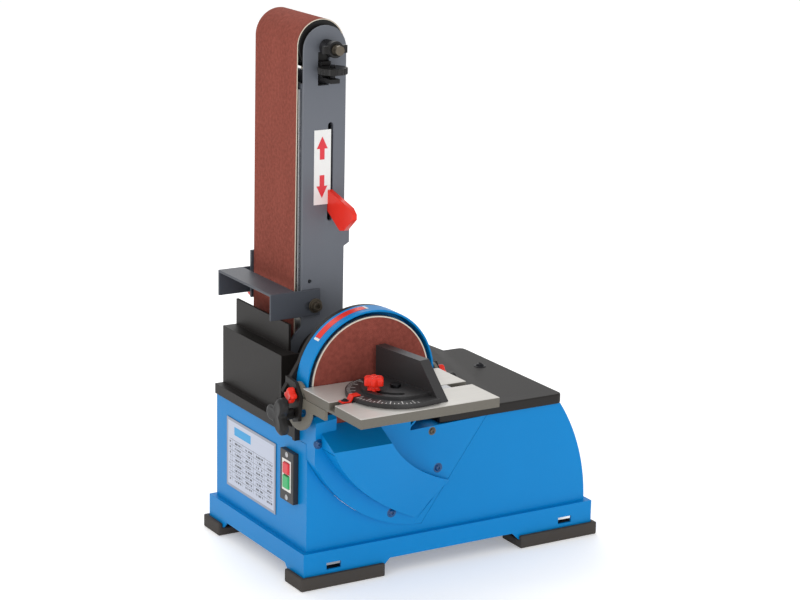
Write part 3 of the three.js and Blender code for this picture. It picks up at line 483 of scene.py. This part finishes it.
class Tone(Enum):
    """Every plain finish on the machine."""

    BLUE = Coat("blue_powder_coat", linear(0, 130, 200), 0.36, shine=0.16)
    DEEP_BLUE = Coat("blue_screw_coat", linear(0, 70, 124), 0.25, shine=0.6)
    BLACK = Coat("black_satin_coat", linear(31, 28, 26), 0.5, 0.00012, 650.0, shine=0.25)
    SLATE = Coat("slate_coat", linear(104, 108, 116), 0.4)
    DARK = Coat("dark_coat", linear(72, 76, 84), 0.42)
    MOTOR = Coat("motor_coat", linear(74, 74, 76), 0.55, 0.0002, 300.0)
    RUBBER = Moulded("foot_rubber", linear(66, 61, 57), 0.75)
    DRIVE_RUBBER = Moulded("drive_belt_rubber", linear(30, 30, 30), 0.8)
    PLASTIC = Moulded("black_plastic", linear(26, 25, 25), 0.42)
    RED = Moulded("red_plastic", linear(236, 44, 26), 0.3, 0.00002)
    GREEN = Moulded("green_plastic", linear(60, 180, 110), 0.3, 0.00002)
    PALE_RED = Moulded("stop_plastic", linear(224, 60, 70), 0.3, 0.00002)
    WHITE = Moulded("white_label", linear(238, 238, 236), 0.4, 0.00001)
    ALUMINIUM = Metal("turned_aluminium", linear(198, 196, 192), 0.4)
    CAST = Coat("cast_grey", linear(112, 108, 98), 0.55, 0.0003, 700.0)
    DARK_STEEL = Metal("dark_steel", linear(112, 104, 92), 0.4)
    CREAM = Moulded("paper_edge", linear(228, 220, 204), 0.8)
    STEEL = Metal("bright_steel", linear(200, 201, 203), 0.3)
    OXIDE = Metal("black_oxide", linear(40, 40, 43), 0.38)
    GRIT = Grit("grit_paper", linear(134, 66, 56), linear(226, 214, 196))
    BELT = Grit("grit_belt", linear(140, 72, 60), linear(232, 222, 204), True)


# ------------------------------------------------------------------ surfaces
def grid_faces(rows: int, columns: int, wrap_rows: bool, wrap_columns: bool) -> np.ndarray:
    """Quads of a grid of points stored row by row, joined round where it wraps.

    Args:
        rows: Number of rows.
        columns: Number of points in a row.
        wrap_rows: True if the last row joins the first.
        wrap_columns: True if each row closes on itself.

    Returns:
        Array of four point numbers per quad.
    """
    row = np.arange(rows if wrap_rows else rows - 1)[:, None]
    column = np.arange(columns if wrap_columns else columns - 1)[None, :]
    next_row = (row + 1) % rows
    next_column = (column + 1) % columns
    corners = [row * columns + column, row * columns + next_column,
               next_row * columns + next_column, next_row * columns + column]
    return np.stack(np.broadcast_arrays(*corners), axis=-1).reshape(-1, 4)


def revolved(profile: Sequence[Sequence[float]], centre: Triple, axis: int, turns: int = 64,
             lobes: int = 0, depth: float = 0.0) -> tuple[np.ndarray, np.ndarray]:
    """Surface of revolution: at angle a, centre + radius(s) * (1 - depth * (1 - cos(lobes * a)) / 2).

    Args:
        profile: Radius and height pairs, from the axis back to the axis or round a closed loop.
        centre: A point on the axis.
        axis: 0, 1 or 2 for an axis along X, Y or Z.
        turns: Steps round the axis.
        lobes: Number of lobes round the rim.
        depth: How far the gaps between lobes reach in, as a part of the radius.

    Returns:
        Points and quads.
    """
    radius, height = np.asarray(profile, dtype=float).T[:, :, None]
    angle = np.linspace(0, 2 * math.pi, turns, endpoint=False)[None, :]
    reach = radius * (1 - depth * (1 - np.cos(lobes * angle)) / 2)
    points = np.empty((radius.shape[0], turns, 3))
    points[..., axis] = centre[axis] + height
    points[..., (axis + 1) % 3] = centre[(axis + 1) % 3] + reach * np.cos(angle)
    points[..., (axis + 2) % 3] = centre[(axis + 2) % 3] + reach * np.sin(angle)
    closed = profile[0][0] > 0
    return points.reshape(-1, 3), grid_faces(radius.shape[0], turns, closed, True)


def arc(centre: Sequence[float], radius: float, angles: np.ndarray) -> np.ndarray:
    """Points of a circle in a plane at the given angles: centre + radius * (cos a, sin a)."""
    return np.asarray(centre, dtype=float) + radius * np.stack([np.cos(angles), np.sin(angles)], axis=-1)


def softened(profile: Sequence[Sequence[float]], radius: float, steps: int = 3) -> list[list[float]]:
    """Profile with each inner corner rounded: a quadratic curve from one side of it to the other.

    Args:
        profile: Corner points, in order.
        radius: Distance from the corner at which the curve starts.
        steps: Points on each curve.

    Returns:
        The rounded profile.
    """
    points = [np.asarray(p, dtype=float) for p in profile]
    result = [points[0]]
    for before, corner, after in zip(points, points[1:], points[2:]):
        legs = [side - corner for side in (before, after)]
        lengths = [np.linalg.norm(leg) for leg in legs]
        starts = [corner + leg / long * min(radius, long * 0.45) for leg, long in zip(legs, lengths)]
        for t in np.linspace(0, 1, steps + 1):
            result.append((1 - t) ** 2 * starts[0] + 2 * t * (1 - t) * corner + t ** 2 * starts[1])
    result.append(points[-1])
    return [list(p) for p in result]


@dataclass
class Shop:
    """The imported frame, and everything that makes a piece and puts it on its body."""

    frame: dict
    made: dict[Any, bpy.types.Material] = field(default_factory=dict)

    def place(self, points: np.ndarray) -> np.ndarray:
        """Metres in the frame from millimetres off the front left foot's corner."""
        return np.asarray(points, dtype=float) / 1000 + np.array(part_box("foot_front_left")[0])

    def finish(self, finish: Any) -> bpy.types.Material:
        """The material of a finish, made once."""
        recipe = finish.value if isinstance(finish, Tone) else finish
        if recipe.name not in self.made:
            self.made[recipe.name] = recipe.make()
        return self.made[recipe.name]

    def body_of(self, node: str) -> str:
        """Name of the body that a CAD node rides on."""
        return body_of(self.frame["nodes"][node])[0]

    def slot_of(self, node: str) -> str:
        """Name of the record's material slot that a CAD node takes its finish from."""
        parts = self.frame["record"]["subparts"]
        return next(part["material_slot"] for part in parts if part["node"] == node)

    def put(self, name: str, mesh: bpy.types.Mesh, finish: Any, body: str) -> bpy.types.Object:
        """Adds a mesh as a piece on a body, with its finish."""
        piece = bpy.data.objects.new(name, mesh)
        bpy.context.scene.collection.objects.link(piece)
        mesh.materials.clear()
        mesh.materials.append(self.finish(finish))
        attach(piece, body)
        log.info("%s on %s, %d faces", name, body, len(mesh.polygons))
        return piece

    def surface(self, name: str, points: np.ndarray, faces: np.ndarray, finish: Any, body: str,
                slot: str, sharp: float = 40.0, sides: Optional[np.ndarray] = None) -> bpy.types.Object:
        """Adds a closed surface of quads.

        Args:
            name: The piece's name.
            points: Positions in millimetres off the foot's corner.
            faces: Quads as point numbers.
            finish: Its finish.
            body: The body it rides on.
            slot: The record's material slot for it; not used.
            sharp: Edges that turn by more than this many degrees stay crisp.
            sides: A number for each point, kept as the attribute face_side.

        Returns:
            The piece.
        """
        mesh = bpy.data.meshes.new(name)
        mesh.from_pydata(self.place(points), [], faces.tolist())
        if sides is not None:
            attribute = mesh.attributes.new("face_side", "FLOAT", "POINT")
            attribute.data.foreach_set("value", np.asarray(sides, dtype=np.float32))
        shell = bmesh.new()
        shell.from_mesh(mesh)
        bmesh.ops.remove_doubles(shell, verts=shell.verts, dist=1e-6)
        bmesh.ops.recalc_face_normals(shell, faces=shell.faces)
        self.shade(shell, sharp)
        shell.to_mesh(mesh)
        shell.free()
        return self.put(name, mesh, finish, body)

    @staticmethod
    def shade(shell: bmesh.types.BMesh, sharp: float) -> None:
        """Smooth shading, broken at edges that turn by more than the angle in degrees."""
        for face in shell.faces:
            face.smooth = True
        for edge in shell.edges:
            edge.smooth = edge.calc_face_angle(0.0) < math.radians(sharp)

    def refine(self, node: str, finish: Any, bevel: float = 0.6, sharp: float = 32.0,
               steps: int = 2) -> bpy.types.Object:
        """Copy of a CAD node with merged flat faces, rounded edges and smooth curves, in its place.

        Args:
            node: The CAD node.
            finish: The copy's finish.
            bevel: Radius of the rounded edges in millimetres.
            sharp: Least angle in degrees of an edge that is rounded.
            steps: Segments across a rounded edge.

        Returns:
            The piece.
        """
        mesh = self.frame["nodes"][node].data.copy()
        shell = bmesh.new()
        shell.from_mesh(mesh)
        bmesh.ops.remove_doubles(shell, verts=shell.verts, dist=2e-6)
        bmesh.ops.dissolve_limit(shell, angle_limit=math.radians(0.4), verts=shell.verts, edges=shell.edges)
        self.shade(shell, sharp)
        shell.to_mesh(mesh)
        shell.free()
        piece = self.put(f"{node}_finished", mesh, finish, self.body_of(node))
        if bevel > 0:
            edge = piece.modifiers.new("rounded_edges", "BEVEL")
            edge.width = bevel / 1000
            edge.segments = steps
            edge.limit_method = "ANGLE"
            edge.angle_limit = math.radians(sharp)
            edge.harden_normals = True
        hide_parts(node)
        return piece

    def replace(self, name: str, node: str, points: np.ndarray, faces: np.ndarray, finish: Any,
                **options: Any) -> bpy.types.Object:
        """Adds a surface in place of a CAD node."""
        piece = self.surface(name, points, faces, finish, self.body_of(node), self.slot_of(node), **options)
        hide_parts(node)
        return piece

    def bolt(self, name: str, centre: Triple, axis: int, out: int, radius: float, finish: Any,
             body: str, slot: str = "steel") -> bpy.types.Object:
        """Dome-headed screw with a washer: a revolved dome with a dished socket in its middle.

        Args:
            name: The piece's name.
            centre: Point of the surface it sits on.
            axis: 0, 1 or 2 for the axis it stands along.
            out: 1 or -1 for the way it points.
            radius: Radius of the head in millimetres.
            finish: Its finish.
            body: The body it rides on.
            slot: The record's material slot for it.

        Returns:
            The piece.
        """
        dome = [[0, 0.28], [0.34, 0.28], [0.4, 0.7], [0.62, 0.62], [0.86, 0.4], [1.0, 0.16], [1.02, 0.14],
                [1.34, 0.14], [1.4, 0.06], [1.4, -0.25], [0, -0.25]]
        profile = [[r * radius, h * radius * out] for r, h in softened(dome, 0.08)]
        points, faces = revolved(profile, centre, axis, 32)
        return self.surface(name, points, faces, finish, body, slot)


# ------------------------------------------------------------------ sub-assemblies
@dataclass
class BaseBox:
    """Sheet-metal base with its feet, panel, switch, plate and rear fittings."""

    bolts: Sequence[Triple] = ((120.1, 7.6, 72.8), (182.5, 9.9, 116.2), (16.6, -5.6, 174.6))
    top_bolt: Triple = (171.5, 6.6, 163.0)
    cover_bolt: Triple = (328.0, 150.0, 181.4)
    switch_window: tuple[Triple, Triple] = ((0.0, 36.5, 105.5), (5.6, 57.0, 142.5))
    switch_screws: Sequence[Triple] = ((5.0, 46.5, 98.0), (5.0, 46.5, 148.5))

    def build(self, shop: Shop) -> None:
        """Makes the pieces of the base."""
        for foot in ("foot_front_left", "foot_front_right", "foot_rear_left", "foot_rear_right"):
            shop.refine(foot, Tone.RUBBER, 1.6)
        shop.refine("base_housing", Tone.BLUE, 1.2)
        shop.refine("front_panel", Tone.BLUE, 1.0)
        shop.refine("dust_port", Tone.PLASTIC, 0.6)
        shop.refine("cord_gland", Tone.PLASTIC, 0.5)
        shop.refine("motor_body", Tone.MOTOR, 3.0)
        shop.refine("motor_bracket", Tone.STEEL, 0.5)
        for number, centre in enumerate(self.bolts):
            shop.bolt(f"panel_bolt_{number}", centre, 1, -1, 4.2, Tone.DEEP_BLUE, "base", "blue_paint")
        shop.bolt("panel_bolt_top", self.top_bolt, 1, -1, 3.6, Tone.DARK_STEEL, "base")
        shop.bolt("cover_bolt", self.cover_bolt, 2, 1, 5.4, Tone.OXIDE, "base")
        self.plate(shop)
        self.switch(shop)

    def plate(self, shop: Shop) -> None:
        """Rating plate on the left wall."""
        low, high = (np.array(corner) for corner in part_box("rating_plate"))
        foil = PrintedFoil("rating_foil", linear(190, 196, 212), linear(84, 88, 96), linear(40, 150, 205),
                           tuple(low), high[1] - low[1], high[2] - low[2])
        shop.refine("rating_plate", foil, 0.3)

    def switch(self, shop: Shop) -> None:
        """Switch box with a pale window round its two buttons."""
        low, high = (shop.place(np.array(corner)) for corner in self.switch_window)
        face = SplitFace("switch_face", linear(34, 33, 33), linear(225, 222, 216), tuple(low), tuple(high))
        shop.refine("switch_box", face, 0.7)
        shop.refine("stop_button", Tone.PALE_RED, 1.0)
        shop.refine("start_button", Tone.GREEN, 1.0)
        for number, centre in enumerate(self.switch_screws):
            shop.bolt(f"switch_screw_{number}", centre, 0, -1, 2.2, Tone.STEEL, "base")


@dataclass
class Castings:
    """Black castings and covers on top of the base."""

    def build(self, shop: Shop) -> None:
        """Makes the black pieces."""
        shop.refine("front_casting", Tone.BLACK, 1.2)
        shop.refine("spindle_housing", Tone.BLACK, 1.5)
        shop.refine("top_cover", Tone.BLACK, 2.0)
        shop.refine("belt_housing", Tone.BLACK, 1.0)
        shop.refine("arm_lock_bolt", Tone.OXIDE, 0.4)


@dataclass
class Drive:
    """Spindle, bearings, pulleys and drive belt."""

    def build(self, shop: Shop) -> None:
        """Makes the pieces of the drive."""
        for node in ("spindle_shaft", "bearing_front", "bearing_rear", "driven_pulley", "motor_pulley",
                     "motor_shaft"):
            shop.refine(node, Tone.STEEL, 0.4)
        shop.refine("transmission_belt", Tone.DRIVE_RUBBER, 0.5)
        shop.refine("drive_drum", Tone.ALUMINIUM, 0.6)


@dataclass
class DiscUnit:
    """Disc, its paper and the guard ring with its printed strip."""

    centre: Triple = (89.0, 0.0, 234.0)
    paper: float = 74.6
    rim: float = 73.5
    paper_front: float = 5.6
    paper_back: float = 6.5
    guard: float = 82.0
    strip_angles: tuple[float, float] = (92.0, 138.0)
    strip_edges: tuple[float, float] = (13.5, 24.0)

    def build(self, shop: Shop) -> None:
        """Makes the pieces of the disc."""
        shop.refine("disc_guard", Tone.BLUE, 0.8)
        shop.refine("disc_plate", Tone.ALUMINIUM, 0.6)
        profile = softened([[0, self.paper_front], [self.paper, self.paper_front],
                            [self.paper, self.paper_back], [0, self.paper_back]], 0.2)
        points, faces = revolved(profile, self.centre, 1, 96)
        shop.replace("disc_paper", "abrasive_disc", points, faces, Tone.GRIT)
        rim = [[self.rim, self.paper_front - 0.15], [self.paper + 0.3, self.paper_front - 0.15],
               [self.paper + 0.3, self.paper_back], [self.rim, self.paper_back - 0.3]]
        points, faces = revolved(rim, self.centre, 1, 96)
        shop.surface("disc_paper_rim", points, faces, Tone.CREAM, shop.body_of("abrasive_disc"),
                     shop.slot_of("abrasive_disc"))
        first, last = self.strip_angles
        self.strip(shop, "guard_strip_start", last + 0.4, last + 2.4, Tone.WHITE)
        self.strip(shop, "guard_strip", first, last, Tone.RED)
        self.strip(shop, "guard_strip_end", first - 2.4, first - 0.4, Tone.WHITE)

    def strip(self, shop: Shop, name: str, start: float, end: float, finish: Any) -> None:
        """Thin printed strip bent round the guard: a ring section carried from one angle to another.

        Args:
            shop: Where pieces are made.
            name: The strip's name.
            start: First angle in degrees, from the right.
            end: Last angle in degrees.
            finish: Its finish.
        """
        front, back = self.strip_edges
        rows = 40
        angle = np.radians(np.linspace(start, end, rows))[:, None]
        radius = self.guard + np.array([0.04, 0.25, 0.25, 0.04])[None, :]
        depth = np.array([front, front, back, back])[None, :]
        points = np.stack(np.broadcast_arrays(self.centre[0] + radius * np.cos(angle), depth,
                                              self.centre[2] + radius * np.sin(angle)), axis=-1)
        last = 4 * rows - 1
        ends = [[0, 1, 2, 3], [last, last - 1, last - 2, last - 3]]
        faces = grid_faces(rows, 4, False, True).tolist() + ends
        shop.surface(name, points.reshape(-1, 3), np.array(faces), finish, "base", "blue_paint")


@dataclass
class BeltArm:
    """Upright arm: frame, belt, rollers, tracking gear, lever and work stop."""

    axis: tuple[float, float] = (89.0, 234.0)
    drum: float = 32.0
    idler: float = 30.3
    length: float = 915.0
    belt_front: float = 128.0
    belt_width: float = 100.0
    belt_thickness: float = 1.2
    belt_wander: float = 0.35
    plate_front: float = 118.0
    label: tuple[float, float, float, float] = (76.0, 97.5, 413.5, 499.5)
    arrows: Sequence[tuple[str, float, float]] = (("arrow_up", 465.5, 492.0), ("arrow_down", 447.5, 421.0))

    @property
    def top(self) -> float:
        """Height of the idler: what the belt's length leaves beside its two half turns."""
        return self.axis[1] + (self.length - math.pi * (self.drum + self.idler)) / 2

    def build(self, shop: Shop) -> None:
        """Makes the pieces of the arm."""
        shop.refine("arm_frame", Tone.SLATE, 0.7)
        shop.refine("platen", Tone.STEEL, 0.4)
        shop.refine("idler_roller", Tone.PLASTIC, 0.8)
        shop.refine("idler_axle", Tone.DARK_STEEL, 1.0)
        shop.refine("idler_carriage", Tone.PLASTIC, 0.5)
        shop.refine("tracking_spring", Tone.OXIDE, 0.3)
        shop.refine("tracking_wing_nut", Tone.PLASTIC, 1.0)
        shop.refine("tracking_stud", Tone.OXIDE, 0.3)
        shop.refine("tracking_wheel", Tone.PLASTIC, 0.4)
        shop.refine("tension_lever", Tone.RED, 0.9)
        shop.refine("lever_pin", Tone.STEEL, 0.3)
        shop.refine("tension_spring", Tone.STEEL, 0.0)
        shop.refine("work_stop", Tone.DARK, 0.8)
        shop.refine("work_stop_screw", Tone.DARK_STEEL, 0.4)
        shop.refine("work_stop_bracket", Tone.DARK, 0.6)
        self.belt(shop)
        self.direction_label(shop)
        star = softened([[0, 246.3], [10, 246.3], [10, 249.5], [22.5, 250.0], [22.5, 259.5], [17, 262.0],
                         [7, 261.0], [0, 260.8]], 2.5, 4)
        points, faces = revolved(star, (77.0, 0.0, 297.0), 1, 84, 7, 0.24)
        shop.replace("work_stop_star", "work_stop_knob", points, faces, Tone.RED)

    def belt(self, shop: Shop) -> None:
        """Abrasive belt: a thin rounded band carried round drum and idler and the straight runs between.

        The path's point at length s is the wheel's centre plus its radius along the outward normal,
        with the normal held constant on the straight runs.
        """
        lean = math.acos((self.drum - self.idler) / (self.top - self.axis[1]))
        over = np.linspace(math.pi / 2 - lean, math.pi / 2 + lean, 72)
        under = np.linspace(math.pi / 2 + lean, 5 * math.pi / 2 - lean, 72)
        run = np.linspace(0, 1, 24)[1:-1, None]
        inner = [self.drum - self.belt_thickness, self.idler - self.belt_thickness]
        top, low = (self.axis[0], self.top), self.axis
        left = [arc(top, inner[1], over[-1:])[0], arc(low, inner[0], under[:1])[0]]
        right = [arc(low, inner[0], under[-1:])[0], arc(top, inner[1], over[:1])[0]]
        path = np.concatenate([arc(top, inner[1], over), run * left[1] + (1 - run) * left[0],
                               arc(low, inner[0], under), run * right[1] + (1 - run) * right[0]])
        normal_angle = np.concatenate([over, np.full(run.size, over[-1]),
                                       under, np.full(run.size, under[-1])])
        normal = np.stack([np.cos(normal_angle), np.sin(normal_angle)], axis=-1)
        t = self.belt_thickness
        lift = np.array([0, 0, t * 0.6, t, t, t, t * 0.6, 0, 0])
        across = np.array([0.5, 0.0, 0.0, 0.004, 0.5, 0.996, 1.0, 1.0, 0.998])
        turns = np.linspace(0, 6 * math.pi, path.shape[0], endpoint=False)
        wander = self.belt_wander * np.sin(turns)[:, None]
        points = np.empty((path.shape[0], lift.size, 3))
        points[..., 0] = path[:, None, 0] + normal[:, None, 0] * lift[None, :]
        points[..., 1] = self.belt_front + self.belt_width * across[None, :] + wander
        points[..., 2] = path[:, None, 1] + normal[:, None, 1] * lift[None, :]
        sides = np.broadcast_to((lift > t * 0.7).astype(float), points.shape[:2]).reshape(-1)
        faces = grid_faces(path.shape[0], lift.size, True, True)
        shop.replace("grit_belt", "abrasive_belt", points.reshape(-1, 3), faces, Tone.BELT, sides=sides)

    def direction_label(self, shop: Shop) -> None:
        """White label with two red arrows, one up and one down, on the arm's face."""
        x0, x1, z0, z1 = self.label
        self.sticker(shop, "arm_label", [(x0, z0), (x1, z0), (x1, z1), (x0, z1)], 0.0, Tone.WHITE)
        middle = (x0 + x1) / 2 - 0.5
        for name, root, tip in self.arrows:
            way = math.copysign(1.0, tip - root)
            neck = tip - way * 14
            shape = [(middle - 3, root), (middle + 3, root), (middle + 3, neck), (middle + 7, neck),
                     (middle, tip), (middle - 7, neck), (middle - 3, neck)]
            self.sticker(shop, name, shape, 0.25, Tone.PALE_RED)

    def sticker(self, shop: Shop, name: str, corners: Sequence[tuple[float, float]], lift: float,
                finish: Any) -> None:
        """Thin flat piece on the arm's face: an outline pushed forward by a fraction of a millimetre."""
        count = len(corners)
        flat = np.array(corners)
        points = np.empty((2, count, 3))
        points[..., 0] = flat[:, 0]
        points[..., 2] = flat[:, 1]
        points[0, :, 1] = self.plate_front - lift - 0.04
        points[1, :, 1] = self.plate_front - lift - 0.3
        mesh = bpy.data.meshes.new(name)
        ends = [list(range(count)), list(range(count, 2 * count))]
        faces = grid_faces(2, count, False, True).tolist() + ends
        mesh.from_pydata(shop.place(points.reshape(-1, 3)), [], faces)
        shell = bmesh.new()
        shell.from_mesh(mesh)
        bmesh.ops.recalc_face_normals(shell, faces=shell.faces)
        shell.to_mesh(mesh)
        shell.free()
        shop.put(name, mesh, finish, "arm")


@dataclass
class TableUnit:
    """Disc table with its swing plates and four knobs."""

    pivot: tuple[float, float] = (14.0, 229.0)
    stud: tuple[float, float] = (17.82, 207.33)
    middle: float = 88.8
    skin: float = 0.0005

    def build(self, shop: Shop) -> None:
        """Makes the pieces of the table."""
        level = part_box("disc_table")[1][2] - self.skin
        top = MilledTop("milled_table", linear(214, 211, 205), linear(108, 104, 95), level)
        shop.refine("disc_table", top, 0.7)
        shop.refine("trunnion_left", Tone.CAST, 0.5)
        shop.refine("trunnion_right", Tone.CAST, 0.5)
        for side, way in (("left", -1), ("right", 1)):
            self.knobs(shop, side, way)

    def knobs(self, shop: Shop, side: str, way: int) -> None:
        """Pivot knob and lock knob on one side: revolved profiles with lobed rims.

        Args:
            shop: Where pieces are made.
            side: Left or right.
            way: -1 on the left, 1 on the right.
        """
        small = [[0, 4.9], [4, 4.9], [4, -3.5], [7, -3.5], [9, -5], [9.2, -10.5], [7.5, -12.4], [3, -11.6],
                 [0, -11.4]]
        large = [[0, 4.9], [4, 4.9], [4, -3.5], [7, -3.5], [7.5, -15], [23.6, -16.2], [23.6, -23.5],
                 [19, -26], [9, -25.4], [0, -25.2]]
        for name, profile, centre, count, depth, finish in (
            ("pivot_knob", small, self.pivot, 4, 0.36, Tone.RED),
            ("table_lock_knob", large, self.stud, 3, 0.56, Tone.PLASTIC),
        ):
            rounded = [[r, self.middle + way * (self.middle - x)] for r, x in softened(profile, 1.6)]
            points, faces = revolved(rounded, (0.0, *centre), 0, 72, count, depth)
            shop.replace(f"{name}_{side}_grip", f"{name}_{side}", points, faces, finish)


@dataclass
class MiterGauge:
    """Miter gauge on the table."""

    pivot: Triple = (80.7, -61.2, 238.6)
    rest: float = 8.2
    knob: tuple[float, float] = (53.3, -61.2)

    def build(self, shop: Shop) -> None:
        """Makes the pieces of the gauge."""
        shop.refine("miter_bar", Tone.STEEL, 0.4)
        dial = Graduated("graduated_head", linear(44, 43, 44), tuple(shop.place(np.array(self.pivot))),
                         0.0440, 0.0535, self.rest)
        shop.refine("miter_head", dial, 1.0)
        shop.refine("miter_pointer", Tone.RED, 0.3)
        shop.refine("miter_pivot_screw", Tone.OXIDE, 0.5)
        stem = [[0, 238.2], [3.5, 238.2], [3.5, 247.3], [8, 247.3], [8, 248.6], [6, 249.4], [6, 252.2]]
        cap = [[11.6, 252.8], [12, 259.6], [9.6, 262.2], [5.4, 261.6], [5.0, 262.8], [0, 263.2]]
        profile = softened(stem + cap, 1.1)
        points, faces = revolved(profile, (self.knob[0], self.knob[1], 0.0), 2, 84, 6, 0.26)
        shop.replace("miter_knob_grip", "miter_knob", points, faces, Tone.RED)
        shop.bolt("pointer_screw", (17.5, -61.2, 239.9), 2, 1, 3.2, Tone.OXIDE, "miter")


@dataclass
class Studio:
    """Floor, lights and camera."""

    target: Triple = (190.0, 110.0, 270.0)
    stand: Triple = (-1221.65, -2219.84, 1013.24)
    yaw: float = 0.544114
    pitch: float = 0.259244
    roll: float = 0.0196093
    lens: float = 108.72
    sky: float = 0.82
    floor_size: float = 80.0
    floor_glow: float = 0.26
    lamps: Sequence[tuple[str, Triple, float, float]] = (
        ("key", (-1500.0, -500.0, 1500.0), 1.0, 5.0),
        ("fill", (-300.0, -2300.0, 480.0), 1.0, 10.0),
        ("back", (500.0, 1500.0, 1700.0), 1.2, 14.0),
    )

    def build(self, shop: Shop) -> None:
        """Makes the floor, the lights and the camera."""
        self.floor()
        world = bpy.data.worlds.new("studio")
        world.use_nodes = True
        background = world.node_tree.nodes["Background"]
        background.inputs[0].default_value = (1.0, 1.0, 1.0, 1.0)
        background.inputs[1].default_value = self.sky
        bpy.context.scene.world = world
        bpy.context.scene.view_settings.view_transform = "Standard"
        for name, spot, size, power in self.lamps:
            self.light(shop, name, spot, size, power)
        self.camera(shop)

    def floor(self) -> None:
        """Plain pale floor."""
        recipe = Recipe("floor")
        mesh = bpy.data.meshes.new("floor")
        half = self.floor_size / 2
        mesh.from_pydata([(-half, -half, 0), (half, -half, 0), (half, half, 0), (-half, half, 0)], [],
                         [(0, 1, 2, 3)])
        mesh.materials.append(recipe.close((0.93, 0.93, 0.93), 0.9, Emission_Color=(1, 1, 1, 1),
                                           Emission_Strength=self.floor_glow))
        floor = bpy.data.objects.new("floor", mesh)
        bpy.context.scene.collection.objects.link(floor)

    def light(self, shop: Shop, name: str, spot: Triple, size: float, power: float) -> None:
        """Soft square light aimed at the machine."""
        data = bpy.data.lights.new(name, "AREA")
        data.size = size
        data.energy = power
        lamp = bpy.data.objects.new(name, data)
        lamp.location = shop.place(np.array(spot))
        aim = Vector(shop.place(np.array(self.target))) - lamp.location
        lamp.rotation_euler = aim.to_track_quat("-Z", "Y").to_euler()
        bpy.context.scene.collection.objects.link(lamp)

    def camera(self, shop: Shop) -> None:
        """Camera at the viewing angle: yaw from +Y to the right, pitch down, then roll about the view."""
        ahead = Vector((math.sin(self.yaw) * math.cos(self.pitch), math.cos(self.yaw) * math.cos(self.pitch),
                        -math.sin(self.pitch)))
        right = Vector((math.cos(self.yaw), -math.sin(self.yaw), 0.0))
        up = right.cross(ahead)
        side = right * math.cos(self.roll) + up * math.sin(self.roll)
        top = up * math.cos(self.roll) - right * math.sin(self.roll)
        turn = Matrix((side, top, -ahead)).transposed().to_4x4()
        data = bpy.data.cameras.new("camera")
        data.lens = self.lens
        data.sensor_width = 36.0
        data.clip_end = 50.0
        camera = bpy.data.objects.new("camera", data)
        camera.matrix_world = Matrix.Translation(Vector(shop.place(np.array(self.stand)))) @ turn
        bpy.context.scene.collection.objects.link(camera)
        bpy.context.scene.camera = camera


def main() -> None:
    """Builds the machine and its studio."""
    logging.basicConfig(level=logging.INFO, format="%(name)s: %(message)s")
    shop = Shop(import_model())
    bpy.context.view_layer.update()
    Studio().build(shop)
    for assembly in (BaseBox(), Castings(), Drive(), DiscUnit(), BeltArm(), TableUnit(), MiterGauge()):
        assembly.build(shop)
    bpy.context.view_layer.update()


if __name__ == "__main__":
    main()
